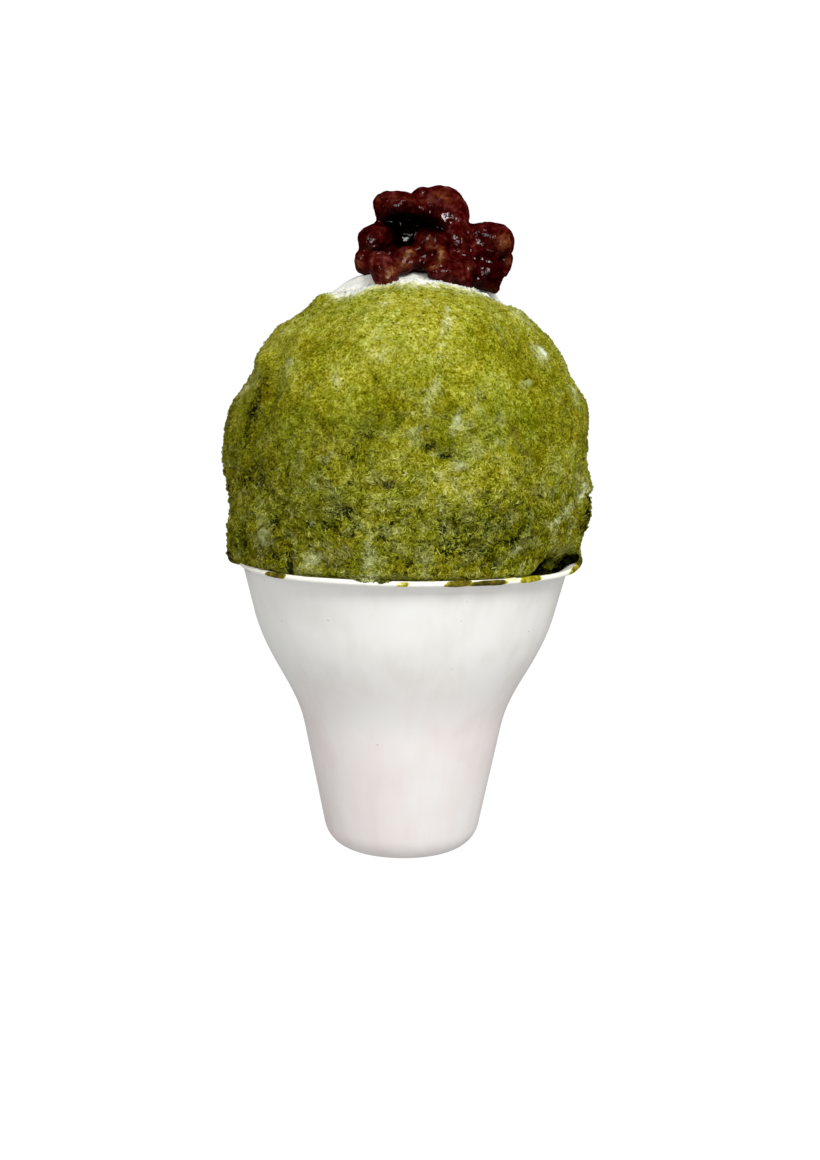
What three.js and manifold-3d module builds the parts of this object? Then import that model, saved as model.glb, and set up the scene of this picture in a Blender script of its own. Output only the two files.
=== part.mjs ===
// Matcha shaved ice heaped over a flared white cup, with a cap of cream and a heap of sweet red beans.
// Millimetres, +Z up. The origin is the middle of the cup's foot, and the front faces -Y.
// Azimuths are degrees from the front towards +X.
import * as THREE from "three";
import { ImprovedNoise } from "three/addons/math/ImprovedNoise.js";
import { mergeVertices } from "three/addons/utils/BufferGeometryUtils.js";
import Module from "manifold-3d";

const wasm = await Module();
wasm.setup();

// ---- Driving dimensions ----

const CLEARANCE = 0.35; // between pieces that rest on each other
const CUP_SIDES = 44;
const OUTSIDE_STEPS = { corner: 3, bowl: 5, flare: 3 };
const INSIDE_STEPS = { corner: 2, bowl: 3, flare: 2 };
const CUP_COLOUR = 0xf1efee;

const CUP = {
  wall: 1.6,
  footRadius: 16, // of the flat the cup stands on
  footCorner: 10, // round from the foot to the stem
  stemAngle: 12, // degrees that the stem leans out
  waist: new THREE.Vector2(32.6, 41), // where the stem ends and the bowl begins
  waistPull: new THREE.Vector2(35.4, 55),
  shoulderPull: new THREE.Vector2(44.2, 62),
  shoulder: new THREE.Vector2(49, 78), // where the bowl straightens
  shoulderAngle: 16.7, // degrees that the bowl's side leans out
  collarZ: 91.3, // where the flare begins
  flareRadius: 4.4,
  lipRadius: 57.05, // to the middle of the bead
  lipZ: 95.35,
  beadRadius: 0.95,
};

const LIP_TOP_Z = CUP.lipZ + CUP.beadRadius + CLEARANCE; // where the ice over the lip begins

const ICE_SIDES = 68;
const ICE_ROWS = 28; // from the lip to the crown
const CROWN_ELEVATION = 71; // degrees up from the eye, where the cream begins to cover the ice
const CAP_ROWS = 3; // under the cream
const ICE_COLOUR = 0x8d9018;
const ICE_EYE_Z = 125; // the mound's middle: every point of its surface can be seen from here
const ICE_EDGE_RADIUS = 56; // where the mound leaves the lip
const CORE = { radius: 57.8, springZ: 150, shoulder: 20, topRadius: 50.5, topHeight: 35.5 };
const ICE_REACH = 90; // farther from the middle than any of its surface
const FINE = 0.01; // how closely the surface is found

// Rounded lumps that the mound is pressed together from. out, along and tall are half sizes:
// away from the axis, round it, and upright. reach is how far the lump's middle is from the axis.
const LUMPS = [
  { azimuth: -6, z: 126, reach: 24, out: 34.5, along: 46, tall: 44 }, // front belly
  { azimuth: 12, z: 158, reach: 12, out: 38, along: 35, tall: 28.4 }, // crown, in front of the cream
  { azimuth: 86, z: 151.5, reach: 20, out: 33.8, along: 30, tall: 29.4 }, // crown, right
  { azimuth: -92, z: 128, reach: 30, out: 30.2, along: 33, tall: 38 }, // left shoulder
  { azimuth: 72, z: 136, reach: 28, out: 31.5, along: 34, tall: 33 }, // right shoulder
  { azimuth: 86, z: 113, reach: 35, out: 26, along: 27, tall: 19 }, // right, over the lip
  { azimuth: -58, z: 106, reach: 34, out: 26.5, along: 27, tall: 18 }, // left front, over the lip
  { azimuth: 24, z: 112, reach: 30, out: 29, along: 24, tall: 19 }, // right front, over the lip
  { azimuth: 148, z: 132, reach: 28, out: 31, along: 34, tall: 34 }, // back right
  { azimuth: -146, z: 124, reach: 28, out: 32, along: 36, tall: 40 }, // back left
  { azimuth: 178, z: 154, reach: 20, out: 33, along: 38, tall: 27 }, // back of the crown
  { azimuth: -176, z: 107, reach: 34, out: 26, along: 26, tall: 15 }, // back, over the lip
];
const LUMP_BLEND = 2.2; // how softly one lump meets the next
const RELIEF = [
  { size: 15, depth: 1.5 },
  { size: 7, depth: 1 },
];
// Soft hollows and creases: half width round the mound, half height, and how deep they are.
const DENTS = [
  { azimuth: -56, z: 148, along: 5, tall: 13, deep: 3 }, // valley beside the left shoulder
  { azimuth: -39, z: 101, along: 2.6, tall: 6, deep: 4.5 }, // crevice over the lip
  { azimuth: -45, z: 112, along: 4, tall: 4.5, deep: 4 }, // pocket above it
  { azimuth: 13, z: 135, along: 9, tall: 3.5, deep: 2.4 }, // crease across the belly
  { azimuth: 75, z: 112, along: 3.5, tall: 11, deep: 3.5 }, // behind the right front
  { azimuth: 128, z: 142, along: 6, tall: 14, deep: 3 },
  { azimuth: -112, z: 113, along: 9, tall: 5, deep: 3 },
  { azimuth: 166, z: 118, along: 5, tall: 10, deep: 3.5 },
];
// Where the mound has shrunk back from the lip and leaves a dark gap.
const GAP = { azimuth: 62, width: 20, reach: 60, out: 12, tall: 8, shrink: 8, deep: 16 };

const CREAM_SIDES = 24;
const CREAM_ROWS = 7;
const CREAM_COLOUR = 0xf4f4ee;
const CREAM = { x: 3, y: 6, z: 176.5, halfX: 33, halfY: 26, halfZ: 14.5 };
const CREAM_RIPPLE = { share: 0.6, wide: 2.6, tall: 1.6 }; // share of the cream's size; how far it swells

const BEAN_SIDES = 8;
const BEAN_ROWS = 5;
const BEAN_COLOUR = 0x3a0d0c;
// Beans that show at the front: middle, then length, width and thickness, then tilt in degrees
// of the long side up from +X, and turn away from the viewer.
const FRONT_BEANS = [
  { at: [-7, -4, 210], size: [9.4, 8.8, 8], tilt: 60 },
  { at: [1, -6, 210.2], size: [14, 7.8, 8], tilt: -14 },
  { at: [4.2, -1, 213.4], size: [7.2, 5, 5], tilt: 24 },
  { at: [11.6, -3, 212], size: [13.6, 9.2, 9], tilt: -10 },
  { at: [15.8, -5, 206.6], size: [12.4, 8.2, 9], tilt: -66 },
  { at: [9.6, -8, 205.4], size: [10.4, 7, 7.6], tilt: -24 },
  { at: [-6, 2.5, 203.4], size: [12, 8.4, 8.8], tilt: 62 },
  { at: [-10.8, -3.5, 200], size: [12.4, 9.2, 9.4], tilt: 20 },
  { at: [-14.4, -3, 192.4], size: [9.6, 5.6, 7], tilt: 80 },
  { at: [-7.8, -12, 191], size: [12.8, 9.2, 8.5], tilt: -62 },
  { at: [-0.8, -12, 191.8], size: [10, 7.6, 7.5], tilt: 38 },
  { at: [6.6, -12, 197], size: [11.4, 8.4, 8.5], tilt: 30 },
  { at: [10.2, -14, 192.4], size: [8.4, 5.2, 6], tilt: 84 },
  { at: [12.8, -12, 188], size: [15.4, 8, 8], tilt: -14 },
  { at: [15.8, -10, 197.8], size: [11.2, 8.6, 8.6], tilt: -20 },
  { at: [26.8, -5, 199.2], size: [14.2, 10.4, 10], tilt: -10 },
  { at: [31.4, -3, 191.8], size: [8.2, 5.4, 6.5], tilt: 74 },
  { at: [25.6, -9, 191.8], size: [12, 8.2, 8.4], tilt: -6 },
  { at: [24.4, -10, 186], size: [11.6, 8, 8], tilt: -30 },
  { at: [27.2, -9, 184], size: [6.4, 5, 5.4], tilt: -40 },
];
// Beans behind them, in rings round the heap's middle.
const BEAN_RINGS = [
  { z: 190.5, radiusX: 19, radiusY: 15, count: 6 },
  { z: 198.6, radiusX: 15, radiusY: 11, count: 4 },
  { z: 206.6, radiusX: 7, radiusY: 7, count: 3 },
];
const RING_FROM = -5; // degrees; the rings run round the back from here to 180 less this
const BEAN_SIZE = [11.5, 8.8, 8.4];
const BEAN_PLUMP = { from: 0.9, to: 1.15 };
const BEAN_SHIFT = 2; // up or down along the rings, over all
const BEAN_TURN = 30; // towards or away from the front, over all
const BEAN_PINCH = 0.5; // how much plumper the ends are than the middle
const HEAP_MIDDLE = { x: 8, y: 3 };
// The paste that holds the beans: middle and half sizes.
const PASTE = [
  { at: [8, 4, 189], half: [20, 14, 10] },
  { at: [7, 6, 198], half: [16, 7, 9] },
  { at: [6, 3, 208], half: [9, 6, 4] },
];
const SEED = 7;

// ---- Shared helpers ----

const noise = new ImprovedNoise();

const radians = THREE.MathUtils.degToRad;

// A repeatable source of numbers from 0 to 1.
function randomSource(seed) {
  let state = seed;
  return () => {
    state = (state * 16807) % 2147483647;
    return state / 2147483647;
  };
}

// Evenly spaced numbers strictly between two.
function between(low, high, count) {
  return Array.from({ length: count }, (_, i) => low + ((high - low) * (i + 0.5)) / count);
}

// The unit vector that points away from the axis at an azimuth.
function outward(azimuth) {
  return new THREE.Vector3(Math.sin(radians(azimuth)), -Math.cos(radians(azimuth)), 0);
}

// A closed surface from rings of points, lowest first, with one point at each end.
function closedSurface(bottom, rings, top) {
  const sides = rings[0].length;
  const positions = [bottom, ...rings.flat(), top].flatMap((p) => [p.x, p.y, p.z]);
  const at = (row, side) => 1 + row * sides + (side % sides);
  const topIndex = 1 + rings.length * sides;
  const faces = [];
  for (let side = 0; side < sides; side++) {
    faces.push(0, at(0, side + 1), at(0, side));
    faces.push(topIndex, at(rings.length - 1, side), at(rings.length - 1, side + 1));
    for (let row = 0; row + 1 < rings.length; row++) {
      faces.push(at(row, side), at(row, side + 1), at(row + 1, side + 1));
      faces.push(at(row, side), at(row + 1, side + 1), at(row + 1, side));
    }
  }
  const geometry = new THREE.BufferGeometry();
  geometry.setAttribute("position", new THREE.Float32BufferAttribute(positions, 3));
  geometry.setIndex(faces);
  return geometry;
}

function toSolid(geometry) {
  const bare = geometry.clone();
  bare.deleteAttribute("normal");
  bare.deleteAttribute("uv");
  const merged = mergeVertices(bare, 1e-4);
  return new wasm.Manifold(
    new wasm.Mesh({
      numProp: 3,
      vertProperties: merged.attributes.position.array,
      triVerts: new Uint32Array(merged.index.array),
    }),
  );
}

function toGeometry(solid) {
  const mesh = solid.getMesh();
  const geometry = new THREE.BufferGeometry();
  geometry.setAttribute("position", new THREE.BufferAttribute(mesh.vertProperties, 3));
  geometry.setIndex(new THREE.BufferAttribute(mesh.triVerts, 1));
  geometry.computeVertexNormals();
  return geometry;
}

// The largest of a solid's separate bodies.
function largestBody(solid) {
  return solid.decompose().reduce((a, b) => (a.volume() > b.volume() ? a : b));
}

function node(name, geometry, color, roughness) {
  const mesh = new THREE.Mesh(geometry, new THREE.MeshStandardMaterial({ color, roughness, metalness: 0 }));
  mesh.name = name;
  return mesh;
}

// ---- Cup ----

// The cup's wall from the foot to the end of the flare, moved inwards by inset.
function wallLine(inset, steps) {
  const lean = (degrees) => new THREE.Vector2(-Math.cos(radians(degrees)), Math.sin(radians(degrees)));
  const stemIn = lean(CUP.stemAngle);
  const shoulderIn = lean(CUP.shoulderAngle);
  const moved = (point, direction) => point.clone().addScaledVector(direction, inset);
  const rise = CUP.collarZ - CUP.shoulder.y;
  const collarRadius = CUP.shoulder.x + rise * Math.tan(radians(CUP.shoulderAngle));
  const collar = new THREE.Vector2(collarRadius, CUP.collarZ);
  const flareMiddle = collar.clone().addScaledVector(shoulderIn, -CUP.flareRadius);

  const corner = new THREE.EllipseCurve(
    CUP.footRadius, CUP.footCorner, CUP.footCorner - inset, CUP.footCorner - inset,
    -Math.PI / 2, -radians(CUP.stemAngle),
  );
  const bowl = new THREE.CubicBezierCurve(
    moved(CUP.waist, stemIn), moved(CUP.waistPull, stemIn),
    moved(CUP.shoulderPull, shoulderIn), moved(CUP.shoulder, shoulderIn),
  );
  const flare = new THREE.EllipseCurve(
    flareMiddle.x, flareMiddle.y, CUP.flareRadius + inset, CUP.flareRadius + inset,
    Math.PI - radians(CUP.shoulderAngle), Math.PI / 2, true,
  );
  return [...corner.getPoints(steps.corner), ...bowl.getPoints(steps.bowl), ...flare.getPoints(steps.flare)];
}

function makeCup() {
  const bead = new THREE.EllipseCurve(
    CUP.lipRadius, CUP.lipZ, CUP.beadRadius, CUP.beadRadius, -Math.PI / 2.6, Math.PI / 2.3,
  );
  const profile = [
    new THREE.Vector2(0, 0),
    ...wallLine(0, OUTSIDE_STEPS),
    ...bead.getPoints(4),
    ...wallLine(CUP.wall, INSIDE_STEPS).reverse(),
    new THREE.Vector2(0, CUP.wall),
  ];
  const geometry = new THREE.LatheGeometry(profile, CUP_SIDES);
  geometry.rotateX(Math.PI / 2);
  return geometry;
}

// ---- Shaved ice ----

// Roughly how many millimetres a point is inside an ellipsoid; negative outside.
function insideEllipsoid(x, y, z, halfX, halfY, halfZ) {
  return (1 - Math.hypot(x / halfX, y / halfY, z / halfZ)) * Math.min(halfX, halfY, halfZ);
}

function insideLump(point, lump) {
  const out = outward(lump.azimuth);
  const away = point.x * out.x + point.y * out.y - lump.reach;
  const along = point.x * -out.y + point.y * out.x;
  return insideEllipsoid(away, along, point.z - lump.z, lump.out, lump.along, lump.tall);
}

function insideCore(point) {
  const spread = Math.hypot(point.x, point.y);
  if (point.z < CORE.springZ) {
    const widen = (CORE.radius - CORE.topRadius) * Math.min(1, (CORE.springZ - point.z) / CORE.shoulder);
    return CORE.topRadius + widen - spread;
  }
  return insideEllipsoid(spread, 0, point.z - CORE.springZ, CORE.topRadius, CORE.topRadius, CORE.topHeight);
}

// The larger of two depths, with the crease between them rounded off.
function blended(a, b) {
  const mix = Math.max(LUMP_BLEND - Math.abs(a - b), 0) / LUMP_BLEND;
  return Math.max(a, b) + (mix * mix * LUMP_BLEND) / 4;
}

function relief(point) {
  return RELIEF.reduce(
    (sum, { size, depth }) => sum + depth * noise.noise(point.x / size, point.y / size, point.z / size), 0,
  );
}

// How much the hollows and creases take off at a point.
function dented(point) {
  return DENTS.reduce((sum, { azimuth, z, along, tall, deep }) => {
    const out = outward(azimuth);
    if (point.x * out.x + point.y * out.y < 0) return sum;
    const across = point.y * out.x - point.x * out.y;
    return sum + deep * Math.exp(-((across / along) ** 2) - ((point.z - z) / tall) ** 2);
  }, 0);
}

// How many millimetres a point is inside the mound above the lip.
function insideMound(point) {
  const lumps = LUMPS.reduce((depth, lump) => blended(depth, insideLump(point, lump)), insideCore(point));
  const gap = insideLump(point, {
    azimuth: GAP.azimuth, z: CUP.lipZ, reach: GAP.reach, out: GAP.out, along: GAP.width, tall: GAP.tall,
  });
  return Math.min(lumps + relief(point) - dented(point), -gap);
}

// How far the mound has shrunk from the wall at an azimuth: 1 in the middle of the gap.
function gapShare(azimuth) {
  const off = Math.abs(((azimuth - GAP.azimuth + 540) % 360) - 180) / GAP.width;
  return off < 1 ? Math.sqrt(Math.cos((off * Math.PI) / 2)) : 0;
}

// The mound's surface along a ray that leaves its middle at an azimuth and an elevation in degrees.
function surfacePoint(azimuth, elevation, proud) {
  const direction = outward(azimuth).multiplyScalar(Math.cos(radians(elevation)));
  direction.z = Math.sin(radians(elevation));
  const eye = new THREE.Vector3(0, 0, ICE_EYE_Z);
  let near = 0;
  let far = elevation < 0 ? Math.min(ICE_REACH, (ICE_EYE_Z - LIP_TOP_Z) / -direction.z) : ICE_REACH;
  if (insideMound(eye.clone().addScaledVector(direction, far)) > 0) near = far;
  while (far - near > FINE) {
    const middle = (near + far) / 2;
    if (insideMound(eye.clone().addScaledVector(direction, middle)) > 0) near = middle;
    else far = middle;
  }
  return eye.addScaledVector(direction, near + proud);
}

function iceGeometry(proud = 0) {
  const azimuths = Array.from({ length: ICE_SIDES }, (_, i) => (i * 360) / ICE_SIDES);
  const wall = wallLine(CUP.wall + CLEARANCE, INSIDE_STEPS);
  const inCup = wall.map(({ x, y }) =>
    azimuths.map((azimuth) => {
      const high = THREE.MathUtils.smoothstep(y, CUP.lipZ - GAP.deep, CUP.lipZ);
      const radius = Math.min(x, ICE_EDGE_RADIUS) - GAP.shrink * gapShare(azimuth) * high;
      return outward(azimuth).multiplyScalar(radius).setZ(y);
    }),
  );
  const lowest = -THREE.MathUtils.radToDeg(Math.atan2(ICE_EYE_Z - LIP_TOP_Z, ICE_EDGE_RADIUS));
  const above = [
    ...between(lowest, CROWN_ELEVATION, ICE_ROWS),
    ...between(CROWN_ELEVATION, 90, CAP_ROWS),
  ].map((elevation) => azimuths.map((azimuth) => surfacePoint(azimuth, elevation, proud)));
  const bottom = new THREE.Vector3(0, 0, wall[0].y);
  return closedSurface(bottom, [...inCup, ...above], surfacePoint(0, 90, proud));
}

// ---- Cream ----

function creamGeometry(grow = 0) {
  const azimuths = Array.from({ length: CREAM_SIDES }, (_, i) => (i * 360) / CREAM_SIDES);
  const rings = Array.from({ length: CREAM_ROWS }, (_, row) => {
    const elevation = -90 + (180 * (row + 1)) / (CREAM_ROWS + 1);
    return azimuths.map((azimuth) => creamPoint(azimuth, elevation, grow));
  });
  return closedSurface(creamPoint(0, -90, grow), rings, creamPoint(0, 90, grow));
}

function creamPoint(azimuth, elevation, grow) {
  const direction = outward(azimuth).multiplyScalar(Math.cos(radians(elevation)));
  direction.z = Math.sin(radians(elevation));
  const wave = noise.noise(...direction.clone().divideScalar(CREAM_RIPPLE.share));
  const wide = wave * CREAM_RIPPLE.wide + grow;
  return new THREE.Vector3(
    CREAM.x + direction.x * (CREAM.halfX + wide),
    CREAM.y + direction.y * (CREAM.halfY + wide),
    CREAM.z + direction.z * (CREAM.halfZ + wave * CREAM_RIPPLE.tall + grow),
  );
}

// ---- Sweet red beans ----

// A plump bean along X with a slightly pinched middle.
function beanGeometry([length, width, thickness], tilt, turn) {
  const geometry = new THREE.SphereGeometry(0.5, BEAN_SIDES, BEAN_ROWS);
  const position = geometry.getAttribute("position");
  for (let i = 0; i < position.count; i++) {
    const x = position.getX(i);
    const plump = 1 + BEAN_PINCH * x * x;
    position.setXYZ(i, x * length, position.getY(i) * width * plump, position.getZ(i) * thickness * plump);
  }
  geometry.rotateX(Math.PI / 2);
  geometry.rotateY(-radians(tilt));
  geometry.rotateZ(radians(turn));
  return geometry;
}

function beans() {
  const random = randomSource(SEED);
  const made = FRONT_BEANS.map(({ at, size, tilt }) =>
    beanGeometry(size, tilt, BEAN_TURN * (random() - 0.5)).translate(...at),
  );
  for (const { z, radiusX, radiusY, count } of BEAN_RINGS) {
    for (let i = 0; i < count; i++) {
      const angle = radians(RING_FROM + ((180 - 2 * RING_FROM) * i) / (count - 1));
      const plump = THREE.MathUtils.lerp(BEAN_PLUMP.from, BEAN_PLUMP.to, random());
      const size = BEAN_SIZE.map((side) => side * plump);
      const bean = beanGeometry(size, 180 * random(), 180 * random());
      made.push(
        bean.translate(
          HEAP_MIDDLE.x + radiusX * Math.cos(angle),
          HEAP_MIDDLE.y + radiusY * Math.sin(angle),
          z + BEAN_SHIFT * (random() - 0.5),
        ),
      );
    }
  }
  return made;
}

function pasteGeometry({ at, half }) {
  return new THREE.SphereGeometry(1, 12, 7).scale(...half).translate(...at);
}

// ---- Assembly ----

const ice = iceGeometry();
const cream = largestBody(toSolid(creamGeometry()).subtract(toSolid(iceGeometry(CLEARANCE))));
const heap = [...PASTE.map(pasteGeometry), ...beans()]
  .map(toSolid)
  .reduce((whole, piece) => whole.add(piece))
  .subtract(toSolid(creamGeometry(CLEARANCE)))
  .subtract(toSolid(iceGeometry(CLEARANCE)));

const kakigori = new THREE.Group();
kakigori.add(
  node("cup", makeCup(), CUP_COLOUR, 0.6),
  node("shaved_ice", ice, ICE_COLOUR, 0.8),
  node("cream", toGeometry(cream), CREAM_COLOUR, 0.5),
  node("red_beans", toGeometry(largestBody(heap)), BEAN_COLOUR, 0.2),
);

export default kakigori;
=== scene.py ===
"""The looks of a green tea shaved ice dessert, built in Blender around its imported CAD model.

Shapes are worked out in millimetres, in the CAD model's frame: +Z up, origin at the middle of the
cup's foot, front towards -Y. Azimuths are degrees from the front towards +X.
"""

import itertools
import math

import bpy
import numpy as np
from mathutils import Matrix, Vector
from mathutils.bvhtree import BVHTree


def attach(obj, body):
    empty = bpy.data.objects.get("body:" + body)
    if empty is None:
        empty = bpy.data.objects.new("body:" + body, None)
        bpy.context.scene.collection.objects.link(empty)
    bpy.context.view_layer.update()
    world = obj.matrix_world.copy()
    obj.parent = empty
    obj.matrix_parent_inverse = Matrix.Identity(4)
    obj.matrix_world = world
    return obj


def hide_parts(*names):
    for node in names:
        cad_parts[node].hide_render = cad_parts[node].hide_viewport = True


MM = 0.001
SEED = 11
NOISE_SHIFT = 57.3  # keeps the origin off the noise's lattice
NOISE_GAIN = 1.5
RIDGE_SHARPNESS = 3

# ---- Sizes and places ----

PHOTO = {"width": 820, "height": 1160, "focal": 1588}  # pixels
CAMERA = {"place": (1.75, -520, 155.75), "aim_z": 89.33, "roll": 0.75, "sensor": 36}

SKY = {"low": 0.64, "high": 0.83, "mirrored": 0.004, "seen": 1.05}
KEY = {"place": (190, -640, 620), "aim": (0, 0, 110), "size": 260, "power": 4.9}
# A lamp that only wet and glossy things mirror.
GLINT = {"place": (-150, -590, 215), "aim": (5, 0, 200), "size": 200, "power": 4.5}

CUP = {
    "wall": 1.6,
    "foot_flat": 8,
    "foot_radius": 16,
    "foot_corner": 10,
    "stem_angle": 12,
    "waist": (32.6, 41),
    "waist_pull": (35.4, 55),
    "shoulder_pull": (44.2, 62),
    "shoulder": (49, 78),
    "shoulder_angle": 16.7,
    "collar_z": 91.3,
    "flare_radius": 4.4,
    "lip_radius": 57.05,
    "lip_z": 95.35,
    "bead_radius": 0.95,
    "bead_span": (-69, 78),
}
CUP_ROWS = {"corner": 12, "stem": 6, "shoulder": 22, "flare": 9, "bead": 10}
CUP_SIDES = 200
# The hand-made look of the cup: the size and depth of its waves, and the heights where they start.
CUP_SWAY = {"size": 24, "depth": 0.08, "heights": (2, 14)}
LIP_SWAY = {"size": 30, "radius": 60, "depth": 0.16, "heights": (70, 96)}
# The lip is bent up towards both sides and less at the back, between these azimuths.
LIP_BEND = {
    "rise": 2.3, "left": (-34, -90), "right": (54, 94), "back": (100, 160), "drop": 0.8,
    "heights": (82, 95),
}
# At the left the lip is drawn in towards the axis by a share of its radius.
LIP_PINCH = {"share": 0.022, "azimuth": 276, "reach": (28, 14), "heights": (92, 96)}

# Syrup that ran onto the lip: first and last azimuth, how far each end leans, its lowest and highest
# place round the bead in degrees, how thin it is, and its tone from dark to yellow.
STAINS = [
    (-46.8, -38, 1, -42, 84, 0, 0.3), (-2.4, 1.6, 0.5, -56, 50, 0.4, 0.72),
    (12.6, 20.3, 1.6, -62, 84, 0, 0.32), (19.8, 32.6, 1.6, -62, 60, 0, 0.16),
    (32, 37, 1.6, 10, 96, 0.2, 1), (36.4, 46.6, 1.4, -52, 96, 0, 0.58),
    (63, 74, 3, -66, 70, 0.1, 0.55), (70, 92, 3, -60, 112, 0, 0.28),
    (112, 128, 2, -50, 80, 0.3, 0.2), (171, 196, 2, -60, 90, 0.2, 0.3),
    (228, 238, 1, -30, 70, 0.5, 0.2), (262, 272, 2, -40, 80, 0.4, 0.3),
]
STAIN = {
    "thickness": 0.2, "sunk": 0.12, "bed": 0.3, "edge": 0.55, "swell": 1.4, "thinning": 0.4,
    "fade": (0.6, 0), "margin": 12, "rows": 16, "steps": 2, "least_steps": 12,
}
STAIN_WAVES = [(3, 0.35), (1.2, 0.25)]
BEAD_TURN = 60  # degrees round the bead to each millimetre of it

ICE_EYE = np.array([0.0, 0.0, 125.0])  # every point of the ice's surface can be seen from here
ICE_SIDES = 460
# Elevations seen from the eye.
BOTTOM_ELEVATION = -88
LIP_ELEVATION = -26.9
CROWN_ELEVATION = 80
ICE_ROWS = {"in_cup": 12, "mound": 176, "crown": 5}
FACET_BLUR = 2  # degrees
RELIEF = {"high": 0.7, "low": 0.6, "snow": 0.7}  # less of it high up and in the white
RELIEF_FROM = (0.5, 5)  # where it sets in and is full, in degrees above the lip
BLUR_FROM = (0, 4)  # the same for the smoothing
PIT = {"depth": 1.5, "size": 3.6, "flat": 1.4, "steps": (0.25, 0.8), "least": 0.25, "high": 0.2}
LACE = {"depth": 0.35, "size": 1.5}
GAP_DEPTH = 2
GAP_BELOW = 3  # how far below the lip a gap goes on, in degrees
HOLLOW_DEPTH = 0.7
ICE_INSET = 0.35  # room for the crystals that lie on it

LOW_HEIGHTS = (152, 112)  # where the powder thins out, and where syrup has washed it away
BACK_FROM = (-20, 10)  # the stretch of Y over which the front turns into the back
SPOT_FALL = 0.8  # how steeply a spot fades
# How deep spots of each sort reach along the line of sight.
SPOT_REACH = 6
SWELL_REACH = 20
BROAD_REACH = 30

# Layers of noise on the ice: size and strength of each.
TORN_WAVES = [(2.4, 1.1), (1.1, 0.9)]
DUSTING_WAVES = [(3.4, 1.6)]
HOLLOW_CLOUDS = [(4, 0.25)]
ICE_RELIEF = [(8.5, 0.35), (4.2, 0.5), (2.2, 0.36)]
SNOW_WAVES = [(2.6, 0.9), (1.1, 0.7)]
PIT_CLOUDS = [(4, 0.7), (1.9, 0.7)]
FROST_CLOUDS = [(9, 1), (3, 0.3)]
LOW_FROST_CLOUDS = [(5, 1), (1.6, 0.4)]
HUE_CLOUDS = [(11, 0.3), (4.5, 0.3)]
BROAD_CLOUDS = [(15, 0.08), (6, 0.1)]
FINE_CLOUDS = [(2.6, 0.135), (1.3, 0.09)]

# How strong hollows, frost and green are in each part of the ice.
# A pair is the noise that a look starts at and is full at, but wander has a size and a strength.
HOLLOW = {
    "front": 0.1, "back": 0.5, "pits": 0.6, "patchy": (0.05, 0.55), "pitted": (0.22, 0.55),
    "wander": (6, 2.2), "size": 13, "flat": 1.5,
}
FROST = {
    "front": 0.08, "back": 0.5, "low": 0.28, "dusting": 0.16, "verge": 0.3,
    "spread": (0.42, 0.75), "clotted": (0, 0.5),
}
TORN_EDGE = (0.12, 0.5)
HUE = {"base": 0.24, "spots": 0.35}
# How far each layer of the ice's tone brightens it.
TONE = {"base": 0.5, "height": 0.125, "high": -0.055, "dusting": 0.06, "verge": 0.12, "snow": 0.2}
# Between these heights the tone rises upwards: painted light from above.
TONE_HEIGHTS = (100, 185)
CALM_FRONT = 0.6  # how much weaker the broad clouds are in front, where spots take their place
# how far the painted shadow in a gap darkens the ice
GAP_SHADOW_TONE = 0.62
# The core is painted darker than the crystals on it, as shade in the openings between them.
CORE_TONE = {"base": -0.17, "high": 0.07, "soaked_and_shaded": 0.42}
# how much hollows darken the crystals: soaked syrup and painted shade
CRYSTAL_SOAK_AND_SHADE = 0.14

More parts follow.
